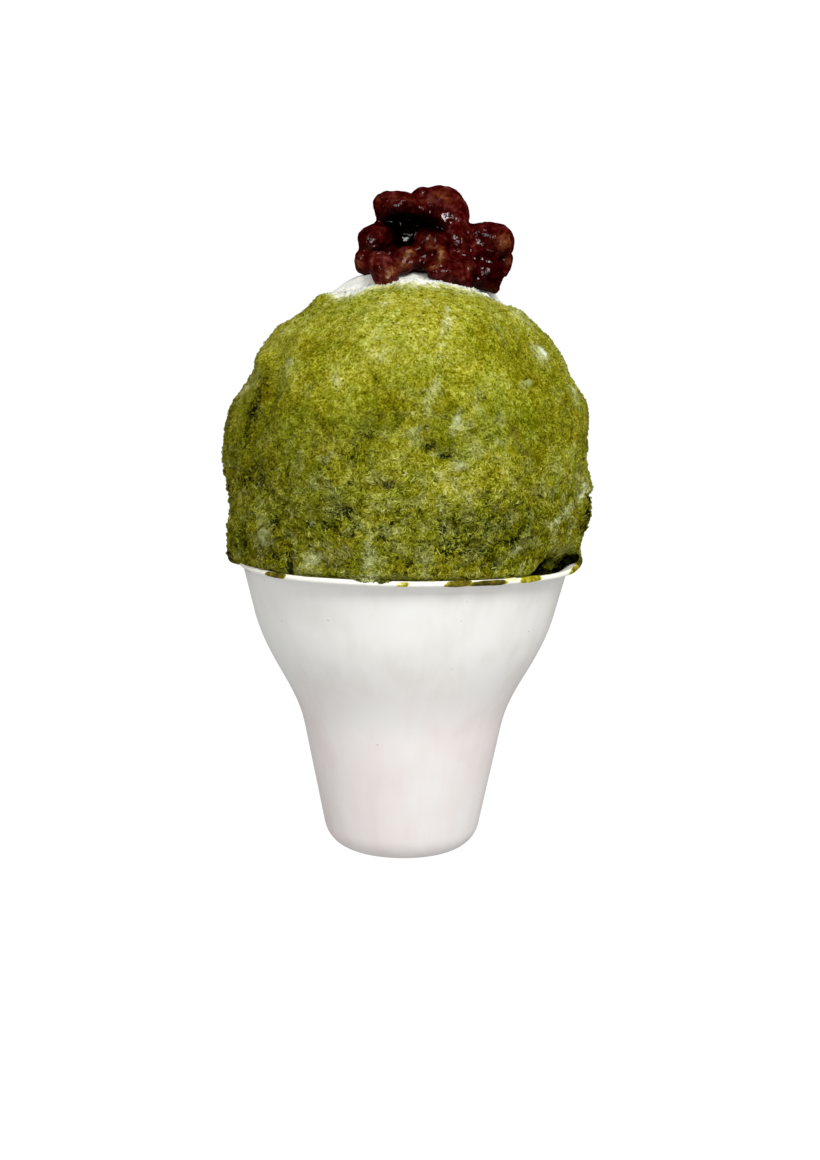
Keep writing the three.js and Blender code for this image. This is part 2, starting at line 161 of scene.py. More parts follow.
# Spots on the mound's front, by where they show in the photograph's frame: middle, half width and
# half height in pixels, then a turn in degrees where they lean. They are listed by strength.
# Icy pale streaks come first.
PALE_PATCHES = {
    0.12: [(256, 452, 14, 26)],
    0.14: [(264, 462, 16, 18), (300, 430, 40, 14)],
    0.16: [
        (480, 524, 12, 18), (401, 343, 9, 16), (430, 412, 34, 10), (400, 425, 30, 14),
        (430, 395, 20, 10),
    ],
    0.18: [(310, 426, 10, 9), (470, 427, 9, 7), (460, 385, 20, 14)],
    0.2: [
        (378, 388, 10, 8), (545, 408, 10, 12), (330, 455, 16, 9), (440, 560, 30, 10),
        (300, 528, 16, 8), (520, 510, 10, 10), (335, 347, 6, 8), (478, 404, 10, 10),
        (480, 435, 30, 24),
    ],
    0.22: [(343, 384, 7, 11, 20), (480, 394, 6, 8), (518, 416, 9, 6)],
    0.24: [(428, 398, 6, 20), (412, 441, 10, 6), (460, 542, 14, 8), (503, 456, 12, 7)],
    0.25: [(226, 475, 6, 14), (384, 436, 7, 7), (500, 442, 6, 4)],
    0.26: [(376, 336, 7, 12)],
    0.28: [(385, 356, 10, 9), (500, 530, 18, 12)],
    0.3: [
        (258, 378, 8, 22, 25), (578, 506, 6, 14), (270, 568, 20, 6), (310, 573, 10, 5),
        (475, 576, 14, 6), (580, 392, 8, 22, -15), (256, 408, 8, 14), (476, 450, 7, 8),
        (425, 560, 8, 6), (420, 442, 7, 6), (326, 456, 8, 8), (405, 518, 8, 8), (437, 520, 12, 6),
        (560, 400, 8, 20, -20), (576, 382, 6, 16, -20),
    ],
    0.34: [(424, 345, 7, 12)],
    0.35: [
        (576, 400, 9, 22, -15), (540, 571, 12, 5), (516, 314, 9, 6, 35), (436, 385, 4, 12, 8),
        (519, 322, 7, 15, -40), (262, 519, 4, 9, 25), (403, 553, 5, 6),
    ],
    0.36: [(500, 418, 7, 12), (250, 382, 8, 12, 30), (238, 400, 5, 12, 20), (528, 322, 14, 5, 35)],
    0.4: [
        (581, 482, 8, 10), (384, 303, 7, 6), (428, 302, 8, 5), (440, 346, 5, 12, 4),
        (385, 533, 7, 5), (540, 355, 15, 9, 45),
    ],
    0.45: [(335, 378, 5, 10), (316, 483, 10, 9), (271, 541, 6, 9, -15)],
    0.5: [
        (290, 361, 7, 4, -20), (573, 391, 3, 8, -20), (415, 430, 9, 4, -15), (524, 316, 8, 5, 40),
    ],
    0.6: [
        (447, 318, 6, 16, 6), (526, 384, 8, 5, -30), (437, 455, 8, 3, 10), (312, 522, 3, 5),
        (515, 551, 11, 5, -28),
    ],
    0.7: [(512, 306, 14, 5, 38)],
    0.8: [(458, 466, 9, 5, -10), (314, 560, 12, 8, -20)],
    0.85: [(369, 557, 7, 18, 4)],
    0.9: [(457, 424, 4, 11, 18)],
    1: [
        (368, 580, 11, 4), (541, 352, 9, 5, 45), (583, 493, 8, 4, -50), (570, 508, 10, 4, -42),
        (556, 521, 10, 4, -36),
    ],
}
# Hollows, sunk and darker: syrup has soaked in there, and shade in the recesses is painted in.
SOAKED_AND_SHADED_HOLLOWS = {
    0.35: [(300, 421, 9, 8)],
    0.4: [(242, 543, 8, 18)],
    0.45: [(352, 456, 9, 12), (406, 518, 8, 10)],
    0.5: [
        (262, 382, 8, 16, 15), (246, 446, 8, 16), (232, 480, 6, 60), (374, 381, 5, 6),
        (432, 573, 14, 4),
    ],
    0.55: [(366, 432, 11, 10, -30), (465, 526, 30, 11), (500, 520, 12, 10)],
    0.6: [(484, 396, 8, 5), (330, 527, 12, 4), (380, 534, 5, 8)],
    0.7: [(262, 483, 7, 8)],
    0.8: [
        (251, 412, 8, 17, 12), (246, 479, 11, 8), (428, 444, 6, 6), (385, 487, 10, 4, 10),
        (341, 513, 14, 11, 20), (455, 549, 18, 7), (508, 541, 10, 4, -25), (548, 566, 18, 6, -10),
    ],
    0.9: [(589, 517, 6, 22, 6)],
    1: [(444, 457, 7, 2.5, 8), (275, 524, 5, 8), (290, 557, 3.5, 17)],
}
# Painted shadow: black where the ice sinks away from the lip.
GAP_SHADOWS = {
    0.6: [(291, 569, 4, 7)],
    0.8: [(549, 573, 12, 2.2, -8), (575, 559, 8, 3, -20)],
    0.95: [(538, 566, 5, 8)],
    1: [(568, 562, 5, 7, -35)],
}
# Where the mound swells, above 0, or sinks, in millimetres.
SWELLS = {
    -1.7: [(388, 283, 9, 6)],
    -1.5: [(456, 285, 9, 5, 10), (582, 540, 8, 12)],
    -1.4: [(436, 452, 14, 4, 10), (228, 476, 8, 18)],
    -1: [(365, 440, 8, 18, 30), (341, 512, 14, 9, 20)],
    -0.8: [
        (226, 476, 7, 18), (385, 487, 10, 5), (465, 526, 24, 8), (455, 549, 16, 5),
        (558, 350, 14, 28, -30),
    ],
    -0.7: [(227, 470, 7, 9)],
    -0.6: [(244, 386, 8, 8)],
    -0.5: [(226, 492, 7, 8), (590, 388, 8, 12)],
    0.5: [(224, 448, 6, 8)],
    0.7: [(456, 468, 12, 5, -10)],
    0.8: [(232, 412, 7, 10), (226, 548, 7, 10)],
    1.3: [(232, 528, 8, 20)],
    1.4: [(587, 480, 6, 8)],
    1.5: [(582, 412, 8, 24), (586, 516, 8, 10)],
    2.5: [(264, 362, 10, 12, -20)],
    2.7: [(325, 302, 13, 9, -35)],
    2.8: [(516, 319, 11, 11, 35)],
}
# Broad parts that are brighter, above 0, or darker: the ice's colour and painted light and shade.
BROAD_TONES_AND_PAINTED_LIGHT = {
    -0.25: [(549, 563, 9, 6)],
    -0.18: [(584, 521, 7, 12)],
    -0.11: [(245, 470, 24, 95)],
    -0.09: [(470, 535, 60, 26), (475, 335, 26, 24), (440, 451, 14, 10)],
    -0.08: [
        (512, 352, 16, 14), (385, 412, 18, 12, 30), (462, 456, 10, 8), (320, 485, 9, 16),
        (525, 455, 18, 9), (568, 557, 6, 5),
    ],
    -0.07: [
        (358, 447, 10, 8), (330, 510, 40, 26), (312, 348, 18, 16), (500, 500, 9, 12),
        (522, 520, 10, 12), (340, 562, 12, 10), (440, 327, 8, 9),
    ],
    -0.06: [
        (435, 552, 14, 5), (572, 440, 18, 80), (270, 550, 40, 24), (525, 376, 18, 9),
        (362, 447, 10, 6), (324, 420, 9, 9), (262, 422, 8, 8), (270, 465, 9, 9), (525, 550, 14, 8),
        (495, 568, 14, 8), (275, 545, 6, 16), (430, 440, 11, 14), (458, 460, 10, 8),
        (425, 552, 10, 7),
    ],
    -0.05: [
        (505, 563, 16, 6, -15), (402, 572, 8, 5), (358, 331, 8, 7), (276, 360, 7, 7),
        (437, 312, 7, 8), (430, 335, 7, 12), (428, 374, 8, 9), (301, 408, 8, 8), (320, 450, 10, 14),
        (410, 313, 10, 6), (562, 508, 8, 12), (547, 527, 6, 10), (545, 535, 8, 20),
        (415, 486, 14, 7), (440, 508, 16, 5), (520, 548, 9, 8), (270, 395, 16, 6),
        (515, 350, 8, 12), (485, 325, 8, 8), (450, 415, 8, 10), (397, 576, 10, 4), (410, 313, 8, 7),
        (460, 553, 10, 6), (368, 562, 10, 8), (380, 578, 9, 5), (520, 527, 12, 8),
    ],
    -0.04: [
        (525, 378, 14, 6), (330, 420, 10, 8), (306, 456, 9, 8), (317, 488, 9, 9), (412, 500, 16, 6),
        (472, 391, 9, 7), (268, 399, 10, 6), (398, 424, 14, 12), (390, 350, 8, 10),
        (460, 447, 8, 8), (335, 570, 8, 10), (525, 475, 9, 14), (405, 386, 20, 8),
        (340, 564, 12, 7), (265, 420, 8, 8), (325, 420, 8, 8), (270, 470, 12, 20),
        (470, 558, 10, 8), (475, 425, 10, 10), (500, 565, 12, 6), (330, 566, 10, 6),
        (530, 525, 9, 7), (434, 449, 8, 7), (545, 540, 12, 8),
    ],
    -0.03: [
        (395, 410, 60, 28), (525, 430, 20, 18), (330, 350, 14, 9), (300, 409, 9, 7),
        (350, 492, 14, 6),
    ],
    0.03: [(415, 340, 8, 30), (290, 376, 12, 12), (542, 357, 9, 8), (264, 486, 10, 7)],
    0.04: [
        (428, 398, 5, 18), (278, 425, 8, 10), (300, 500, 8, 8), (540, 488, 9, 9), (340, 362, 8, 8),
        (258, 372, 10, 24, 20), (300, 350, 26, 22), (560, 540, 10, 26), (425, 320, 8, 18),
        (290, 366, 10, 18), (560, 458, 10, 10), (345, 380, 9, 8), (270, 440, 8, 7),
        (505, 387, 8, 10), (410, 366, 8, 7), (390, 362, 9, 8), (408, 410, 10, 8), (397, 440, 12, 6),
        (245, 440, 12, 7),
    ],
    0.05: [
        (520, 322, 14, 7, 35), (583, 484, 8, 12), (446, 350, 5, 22), (372, 344, 7, 8),
        (575, 450, 9, 18), (300, 560, 12, 14), (262, 566, 16, 8), (545, 571, 14, 5),
        (440, 482, 6, 16), (270, 350, 8, 12), (490, 388, 16, 8), (438, 392, 10, 6),
        (480, 522, 30, 9), (343, 505, 12, 8), (275, 500, 30, 14), (270, 434, 12, 8),
        (345, 484, 14, 8), (415, 534, 18, 9), (380, 318, 40, 12), (328, 330, 12, 8),
        (285, 325, 12, 8), (340, 394, 20, 14), (435, 392, 12, 6), (576, 482, 9, 12),
        (260, 528, 10, 14), (300, 570, 12, 8), (505, 318, 30, 6, 20), (505, 470, 8, 22),
        (286, 370, 8, 12), (560, 348, 8, 12, -30), (284, 426, 8, 7), (306, 430, 8, 7),
        (441, 340, 6, 14), (510, 541, 9, 7), (404, 530, 8, 9), (460, 362, 10, 22), (480, 372, 9, 7),
        (504, 408, 8, 16), (477, 410, 9, 12),
    ],
    0.06: [
        (568, 372, 8, 34, -22), (500, 576, 42, 5, -6), (254, 384, 12, 16, -30), (452, 549, 6, 7),
        (258, 384, 8, 8), (462, 424, 20, 10, -30), (572, 428, 6, 20), (245, 492, 14, 30),
        (446, 342, 9, 18), (500, 378, 10, 12), (345, 510, 12, 9), (305, 500, 12, 8),
        (555, 550, 12, 7), (243, 392, 10, 18, -20), (384, 346, 10, 16), (426, 345, 8, 16),
        (385, 298, 20, 7), (535, 326, 18, 8, 35), (570, 372, 9, 24, -20),
    ],
    0.07: [
        (232, 400, 8, 14, 25), (420, 480, 90, 30), (283, 330, 9, 12), (385, 350, 9, 24),
        (575, 465, 10, 40), (408, 445, 18, 12), (432, 515, 18, 9), (240, 445, 14, 12),
        (385, 300, 14, 6), (375, 575, 10, 7), (452, 545, 10, 7), (300, 322, 16, 10, -40),
        (273, 348, 14, 16, -30),
    ],
    0.08: [
        (262, 356, 8, 8), (345, 380, 22, 18), (388, 462, 12, 14), (365, 575, 14, 6),
        (480, 452, 12, 10), (448, 546, 12, 8),
    ],
    0.09: [(430, 330, 90, 45), (512, 472, 10, 20), (456, 315, 14, 20)],
    0.1: [
        (585, 558, 8, 8), (585, 482, 8, 14), (560, 555, 8, 5), (520, 573, 20, 4, -8),
        (228, 556, 6, 6), (563, 551, 8, 4), (292, 370, 9, 14), (455, 490, 24, 18),
    ],
    0.11: [(555, 458, 22, 20)],
    0.12: [
        (368, 580, 11, 4), (308, 558, 16, 12), (236, 566, 14, 6), (555, 571, 16, 6),
        (583, 540, 8, 12),
    ],
    0.13: [(448, 545, 16, 12)],
    0.14: [(236, 557, 9, 6), (370, 515, 20, 18), (530, 578, 12, 5)],
}
# Parts that are greener, above 0, or more yellow.
BROAD_HUES = {
    -0.8: [(340, 560, 22, 14)],
    -0.5: [(480, 485, 50, 18), (420, 310, 40, 24), (250, 545, 18, 24)],
    -0.3: [(300, 380, 40, 22)],
    0.3: [(290, 300, 40, 24)],
    0.4: [(430, 440, 30, 22), (330, 500, 30, 24)],
    0.55: [(480, 540, 46, 26)],
    0.6: [(372, 555, 22, 26)],
    0.7: [(358, 440, 16, 34, 20)],
    0.8: [(500, 420, 46, 26)],
}
# Lumps of ice on or behind the lip: azimuth, radius and height of the middle, and half sizes along
# the lip, outwards and upwards.
LUMPS = [
    (-74, 57.1, 98.2, 10.5, 1.5, 2), (-69, 56.4, 97.8, 2.4, 0.9, 0.8),
    (-61, 56.2, 97.2, 2, 0.8, 0.8), (-54, 56.3, 96.9, 1.6, 0.8, 0.7),
    (-49, 56, 96.6, 1.4, 0.9, 0.7), (-36, 56.4, 96.4, 1.8, 0.8, 0.7),
    (-31, 56.5, 96.3, 2.2, 0.9, 0.7), (-22, 56.2, 96.3, 1.6, 0.8, 0.8),
    (-11, 56.9, 96.2, 5, 1, 0.9), (-6.2, 57.1, 95.8, 2.8, 0.9, 0.8), (3, 56.3, 96.2, 1.4, 0.8, 0.8),
    (8, 56.5, 96.2, 2.4, 0.9, 0.8), (33, 56.3, 96.4, 1.5, 0.8, 0.7),
    # The lump at 57 degrees sits inside the lip, where the painted shadow of the gap turns it black.
    (57, 53.2, 98.3, 3.4, 1.6, 1.6), (77, 56.2, 99, 3.6, 1.1, 1.5), (80, 54.4, 98.1, 10, 1.5, 1.3),
    (97, 57, 98.6, 6, 1.4, 1.6), (150, 56.8, 97, 4, 1.4, 1.2), (207, 56.8, 97, 5, 1.6, 1.5),
    (246, 57, 98, 4, 1.4, 1.3),
]
LUMP_ROWS = (8, 14)
LUMP_ROUGH = {"gain": 0.35, "size": 0.4}
# Lowest height of the white that the green powder leaves bare at the top, along X.
SNOW_LINE = {
    "x": (-60, -30, -28, -26.6, -25, -23, -20.6, -18.4, -15.3, -12.1, -9, -4.4, 6.6,
          11.3, 14.5, 19, 22.3, 25.5, 27.5, 29.4, 31, 33, 35, 60),
    "z": (184, 184, 184, 183.2, 181.6, 180.2, 180.1, 180.4, 181.2, 182.5, 183.7, 184.2, 184,
          184.2, 183.4, 182.5, 181.8, 181.7, 181, 179.9, 179.8, 180.8, 182.2, 184),
}

# How far above that line the white, its pale rim and the rim's white edge start and are full.
SNOW_EDGES = {"snow": (-0.7, 1), "dusting": (-4.5, 0.5), "verge": (-2.4, 0.2)}

# Clear chips of ice set in the surface: a spot, its turn, and how bright the chip is.
CHIPS = [
    (541, 352, 7.5, 4.4, 45, 0.8), (526, 384, 6, 3.4, -30, 0.42), (457, 423, 3, 9, 18, 0.5),
    (447, 312, 2.4, 7, 6, 0.55), (458, 466, 7, 3.2, -10, 0.5), (262, 521, 2.4, 8, 30, 0.3),
    (266, 540, 8.5, 11, -20, 0.26), (515, 551, 9, 3.6, -28, 0.34), (573, 391, 2.4, 6, -20, 0.5),
    (312, 523, 2, 4, 0, 0.4), (500, 442, 4, 2.2, 15, 0.34), (304, 567, 4, 2.2, 20, 0.4),
]
CHIP = {
    "dome": 0.1, "rough": 0.2, "size": 1.4, "thickness": 0.8, "rings": 7, "sides": 26, "inner": 0.1,
}
CHIP_RIM = [(1.6, 0.5, 15), (4, 0.3, 16)]  # its ragged edge: how fine, how strong, and a seed

# What is scattered on the ice: how many, then length, width and thickness from smallest to
# largest, how far it stands up from the surface, how much more of it there is low down, how much
# brighter it is than the ice below it and how much that varies.
SCATTER = {
    "ice_grains": {
        "count": 28000, "small": (0.5, 0.42, 0.34), "large": (1.2, 0.85, 0.6),
        "lift": 0.3, "low": -0.5, "tone": 0.03, "vary": 0.05,
    },
    "ice_needles": {
        "count": 31000, "small": (0.7, 0.34, 0.26), "large": (1.5, 0.5, 0.36),
        "lift": 0.35, "low": 5.0, "tone": 0.055, "vary": 0.07,
    },
    "ice_threads": {
        "count": 16000, "small": (1.1, 0.28, 0.22), "large": (2.4, 0.42, 0.3),
        "lift": 0.3, "low": 12.0, "tone": 0.06, "vary": 0.08,
    },
    "ice_flakes": {
        "count": 4400, "small": (0.6, 0.4, 0.12), "large": (1.3, 0.9, 0.2),
        "lift": 0.35, "low": 0.6, "tone": 0.04, "vary": 0.06,
    },
}
SIZE_POWER = 1.4  # above 1, small crystals outnumber large ones
FLOW = {"size": 9, "turn": 4, "jitter": 0.8}  # the swirls that the crystals lie along
CALM_TOP = 0.6  # how much less crystals vary high up
ABOVE_LIP = 0.6  # crystals start this far above the lip
BARE_HOLLOWS = 0.6  # how much fewer of them lie in hollows
CRYSTAL_RAISED = {"thickness": 0.2, "lift": 0.3}  # shares of its size by which one is raised
CRYSTAL_BOW = 0.14
CRYSTAL_UNEVEN = (0.8, 1.2)
FLAKE_SPIN = 0.4
POWDER = {"share": 0.05, "tone": 0.34}  # dark grains of tea high up
SOFTNESS = {"low": 0.7, "high": 0.93}  # how far a crystal's shading follows the mound's

CREAM_VOXEL = 0.7
CREAM_WAVES = [(7, 0.5), (3, 0.3), (1.4, 0.15)]
CREAM_ROUNDS = 8
CREAM_SINK = {"depth": 1.4, "near": (1.6, 0.6)}  # its rim reaches into ice that is this near
# It keeps a gap inside the beans that sit in it, where they are near.
CREAM_CLEAR = {"gap": 0.4, "near": 2, "most": 1.5, "share": 0.6}
CREAM_TINT = {"share": 0.5, "near": (1.2, 0.1), "size": 1.5}
# Where the cream droops or swells: how far up, and the stretches of X and Y where that sets in.
CREAM_SIDES = [(-1.2, (-15, -22)), (-4.2, (24, 31))]
CREAM_FRONT = {"rise": 0.8, "x": 4, "reach": (6, 1), "y": (-4, -10)}

BEAN_VOXEL = 0.38
BEAN_COUNT_SEED = 7
BEANS_BEFORE_RINGS = 20  # how many of the source's numbers turn the beans at the front
BEAN_TURN = 30
BEAN_PINCH = 0.5
BEAN_DENTS = [(4.5, 0.1), (2.2, 0.05)]  # sizes on a bean of the usual width
USUAL_WIDTH = 9
BEAN_SIZE = np.array([11.5, 8.8, 8.4])
BEAN_PLUMP = (0.9, 1.15)
BEAN_SHIFT = 2
HEAP_MIDDLE = (8, 3)
RING_FROM = -5
# The beans that show at the front: middle, then length, width and thickness, then tilt, bend and how
# light the skin is.
FRONT_BEANS = [
    ((-4.4, -5, 210.2), (14.4, 8.6, 9), -3, 0, 0.44),
    ((-8.4, -4.5, 209.4), (8.6, 5.6, 8), 82, 0, 0.4),
    ((3.4, -4.5, 209.3), (11, 6, 7.4), -10, 0, 0.4),
    ((3.8, -2.5, 213.6), (6.8, 5, 6), 20, 0, 0.46),
    ((12.7, -4.5, 208.9), (15.2, 10.8, 9.5), -56, 0.3, 0.54),
    ((8.8, -4, 212.2), (10.6, 7, 8), 10, 0.3, 0.56),
    ((13.8, -6.5, 205), (11, 7.6, 8), -34, 0.3, 0.56),
    ((-6, 2.5, 203.4), (12, 8.4, 8.8), 62, 0, 0.2),
    ((-10.8, -3.5, 199.6), (11.6, 8.8, 9.4), 20, 0.3, 0.42),
    ((-14.2, -3, 192.4), (9.6, 5.4, 7), 82, 0.4, 0.46),
    ((-8, -16, 188.4), (13.6, 9, 8.5), -62, 0.6, 0.62),
    ((-0.4, -12, 192), (10, 7.6, 7.5), 36, 0.5, 0.56),
    ((0.2, -15, 195), (3.8, 2.8, 3.4), 20, 0, 0.6),
    ((6.8, -12, 197.2), (11.8, 8.4, 8.5), 28, 1.2, 0.42),
    ((10.2, -14, 192.4), (8.4, 5.2, 6), 84, -0.6, 0.5),
    ((13, -15.6, 187.6), (15.2, 8.4, 8), -14, 0.8, 0.5),
    ((19.4, -14.5, 190.4), (4.8, 3.6, 4.2), -60, 0, 0.55),
    ((15.4, -8.6, 198), (12.8, 8.6, 7.8), -74, 0.3, 0.5),
    ((16, -9.5, 192.8), (9, 6, 7), 0, 0, 0.48),
    ((20.6, -7.6, 195.4), (8, 6, 6.4), -30, 0, 0.5),
    ((25.6, -6.2, 199.4), (17, 10.4, 9.8), -6, 0.7, 0.43),
    ((30.6, -3, 191.8), (8.2, 5.2, 6.5), 74, 0.4, 0.5),
    ((24.9, -9.4, 189.2), (12.6, 9.4, 8.6), -72, 0.4, 0.32),
    ((21.6, -9.8, 187.6), (8.6, 7, 7), -30, 0, 0.32),
    ((26.4, -9, 184.8), (6, 4.6, 5), -40, 0, 0.46),
    ((5.8, -12.8, 191.4), (6.4, 4.6, 5.4), 30, 0, 0.5),
]
# Rings of beans behind them: height, radii along X and Y, and how many.
BEAN_RINGS = [(190.5, 17.2, 15, 6), (198.6, 15, 11, 4), (206.6, 7, 7, 3)]
# Paste between the beans: middle and half sizes.
PASTE = [((8, 4, 189), (20, 14, 10)), ((7, 6, 198), (16, 7, 9)), ((6, 3, 208), (9, 6, 4))]
PASTE_SKIN = 0.14
BACK_SKINS = (0.36, 0.6)
BEAN_BEND = 0.5  # of the beans at the back
CLOSING = 0.5  # how far syrup fills the creases between beans
CREASE_ROUNDS = 30
CREASE_BULGES = 0.1  # how much bulges sink for each step by which creases rise
BEAN_ROWS = (26, 36)
SKIN_WAVES = [(1.9, 0.24), (3.6, 0.4)]
WRINKLE = {"height": 0.1, "size": 2.2}
PASTE_FROM = 1.5  # how far out of its nearest bean a place counts as paste
# Brown and wet patches on the beans at the back, which set in over this stretch of Y.
BEANS_BACK_FROM = (-4, 6)
BACK_BROWN = {"share": 0.7, "size": 6, "steps": (0.3, 0.6)}
BACK_WET = {"share": 0.3, "size": 3, "steps": (0, 0.5)}
# Where the brown inside of a bean shows.
BROWN_PATCHES = {
    0.3: [(458, 240, 5, 5)],
    0.35: [(452, 202, 7, 8)],
    0.45: [(420, 202, 14, 4)],
    0.5: [(392, 197, 17, 5, 6), (378, 203, 4, 9), (374, 256, 4, 9)],
    0.55: [(494, 288, 7, 6)],
    0.6: [(429, 238, 7, 5), (430, 247, 6, 3), (509, 263, 6, 9)],
    0.65: [(440, 195, 12, 7)],
    0.7: [(469, 267, 5, 6)],
    0.8: [(359, 262, 5, 13), (406, 262, 12, 7, -35), (433, 267, 8, 5)],
    0.85: [(390, 274, 8, 10), (504, 241, 10, 12)],
    0.9: [(409, 252, 5, 4)],
    0.95: [(441, 254, 6, 9)],
}
# Deep shade between the beans.
CAVITY = {
    0.25: [(490, 278, 12, 10)],
    0.3: [(484, 278, 14, 8, 20), (456, 284, 12, 3, 10)],
    0.35: [(397, 252, 2.4, 7, 20)],
    0.4: [(430, 259, 5, 2), (374, 243, 14, 2.4, 20), (447, 240, 2.4, 7)],
    0.45: [(455, 261, 12, 2.6), (474, 276, 3, 9)],
    0.5: [(467, 240, 2.4, 9), (502, 264, 2.6, 8, 10)],
    0.7: [(405, 216, 16, 6, 8), (487, 256, 15, 3)],
    0.8: [(395, 222, 12, 7), (420, 268, 5, 6)],
    1.2: [(412, 228, 28, 9), (402, 243, 14, 8), (432, 228, 12, 8)],
}
# Flat wet spots on the skins that mirror the lamp: a spot, its turn, and how wet it is. Below 0 the
# skin is dull there. A later spot is pressed into what earlier ones leave.
WET_SPOTS = [
    (434, 199, 11, 6, 0, -0.16), (392, 200, 12, 5, 0, -0.1), (443, 216, 7, 4.5, 40, 1),
    (451, 222, 4, 3, 30, 0.5), (457, 214, 3, 2, 55, 0.35), (459, 222, 2.4, 2.4, 0, 0.35),
    (399, 204, 3, 2, 50, 0.05), (410, 212, 2.4, 3.6, -30, 0.12), (418, 207, 1.8, 3.6, 0, 0.16),
    (430, 212, 2, 3, 0, 0.14), (423, 193, 2.4, 4.4, 10, 0.14), (377, 226, 4, 2.6, 0, 0.14),
    (371, 242, 2.8, 2.4, 0, 0.16), (374, 246, 3.4, 2.2, 0, 0.2), (380, 234, 2, 2, 0, 0.1),
    (394, 235, 2.4, 5, 0, 0.3), (405, 239, 6, 4.4, 0, 0.3), (410, 247, 2.6, 1.6, 0, 0.2),
    (411, 262, 4, 2.4, 0, 0.18), (403, 261, 2.4, 2, 0, 0.18), (399, 269, 3.4, 2.6, 45, 0.18),
    (396, 277, 2.6, 3.6, 20, 0.22), (388, 278, 3, 2.6, 0, 0.22), (379, 253, 4, 2, 0, 0.04),
    (416, 250, 2, 2.6, 0, 0.1), (441, 266, 2.4, 3, 45, 0.1), (446, 270, 3.6, 1.8, 0, 0.1),
    (424, 262, 1.8, 2.6, 0, 0.05), (445, 243, 2, 4.6, -15, 0.14), (462, 240, 1.8, 4.6, 0, 0.2),
    (455, 238, 3.2, 3.2, 0, 0.14), (464, 255, 4.2, 3, 0, 0.14), (468, 268, 3, 4, 0, 0.16),
    (478, 242, 3, 5.4, 20, 0.2), (471, 250, 2.4, 5, 30, 0.14), (485, 230, 5, 2.6, 0, 0.14),
    (468, 232, 2.4, 3, 0, 0.1), (475, 258, 1.8, 3.2, 0, 0.14), (497, 253, 2, 2, 0, 0.18),
    (482, 259, 3.4, 2.6, 40, 0.24), (490, 262, 6, 2.2, 0, 0.28), (497, 261, 2.8, 2.6, 0, 0.2),
    (481, 268, 2.8, 2.4, 0, 0.3), (488, 270, 2, 1.8, 0, 0.16), (478, 279, 3.2, 2.4, 0, 0.16),
]
WET = {
    "depth": 0.4, "facing": 0.6, "reach": 6, "depth_reach": 3, "edge": (0.35, 0.85), "dullest": -0.16,
}
DEEPEST = 0.97  # the most shade that the cavity has

# Curly lines in the ice's fine texture.
CURLS = {"size": 2.2, "sharpness": 9, "height": 0.16, "middle": 0.53}
CUP_PINK_HEIGHTS = (45, 70)  # the cup is pink below the first and white above the second
CUP_LIP_HEIGHTS = (94.2, 95.8)  # where its wall turns into the lip
CUP_SPECK_LEVEL = 0.872
COAT = {"wet": 0.7, "least": 0.13}

# Colours as a screen shows them, by tone from dark to bright.
OLIVE = {
    0: (12, 11, 0), 0.2: (58, 54, 0), 0.4: (102, 97, 1), 0.54: (133, 129, 15), 0.68: (164, 162, 54),
    0.85: (197, 195, 102), 1: (226, 224, 162),
}
GREEN = {
    0: (8, 14, 0), 0.2: (44, 55, 2), 0.4: (86, 98, 3), 0.54: (117, 129, 20), 0.68: (148, 160, 62),
    0.85: (182, 192, 112), 1: (216, 223, 170),
}
ICY = {0: (50, 56, 18), 0.35: (132, 138, 74), 0.65: (192, 195, 136), 1: (246, 247, 240)}
CHIP_COLOURS = {0.1: (92, 96, 40), 0.4: (136, 142, 82), 0.7: (174, 182, 132), 1: (214, 222, 200)}
SYRUP = {
    0: (48, 46, 4), 0.35: (96, 86, 4), 0.6: (148, 138, 8), 0.85: (196, 188, 52), 1: (236, 232, 176),
}
CUP_UPPER = {0.36: (233, 230, 224), 0.5: (239, 238, 233), 0.64: (240, 240, 237)}
CUP_LOWER = {0.36: (229, 219, 216), 0.5: (233, 226, 223), 0.64: (234, 231, 228)}
CUP_LIP = (243, 241, 229)
CUP_SPECK = (206, 196, 182)
CREAM_WHITE, CREAM_GREEN = (246, 246, 240), (206, 208, 120)
CREAM_POWDER = {0.3: (226, 228, 216), 0.6: (255, 255, 255)}
MAROON = {
    0: (10, 0, 0), 0.25: (38, 0, 0), 0.45: (50, 3, 2), 0.65: (67, 15, 13), 0.85: (91, 40, 35),
    1: (112, 61, 53),
}
STARCH = {0.2: (50, 4, 2), 0.5: (80, 29, 12), 0.8: (101, 52, 28), 1: (132, 91, 64)}
DEEP_SHADE = (2, 0, 0)

# ---- Numbers ----

rng = np.random.default_rng(SEED)


def spots(groups):
    """Spots listed by strength, each as (x, y, half width, half height, turn, strength)."""
    return [(*(spot + (0,))[:5], strength) for strength, group in groups.items() for spot in group]


def srgb(red, green, blue):
    """A colour as a screen shows it, from 0 to 255, as Blender's linear red, green, blue and 1."""
    shares = np.array([red, green, blue]) / 255
    linear = np.where(shares <= 0.04045, shares / 12.92, ((shares + 0.055) / 1.055) ** 2.4)
    return (*linear, 1)


def smooth_step(low, high, value):
    share = np.clip((value - low) / (high - low), 0, 1)
    return share * share * (3 - 2 * share)


def unit(vectors):
    return vectors / np.maximum(np.linalg.norm(vectors, axis=-1, keepdims=True), 1e-9)


def hashed(cells, seed):
    """Three repeatable numbers from -1 to 1 for each cell of a lattice."""
    x, y, z = (cells[..., k].astype(np.int64) for k in range(3))
    mixed = (x * 73856093) ^ (y * 19349663) ^ (z * 83492791) ^ (seed * 2654435761)
    mixed = ((mixed ^ (mixed >> 13)) * 1274126177) & 0x3FFFFFFF
    mixed = ((mixed ^ (mixed >> 15)) * 668265263) & 0x3FFFFFFF
    parts = [(mixed >> shift) & 1023 for shift in (0, 10, 20)]
    return np.stack(parts, axis=-1) / 511.5 - 1


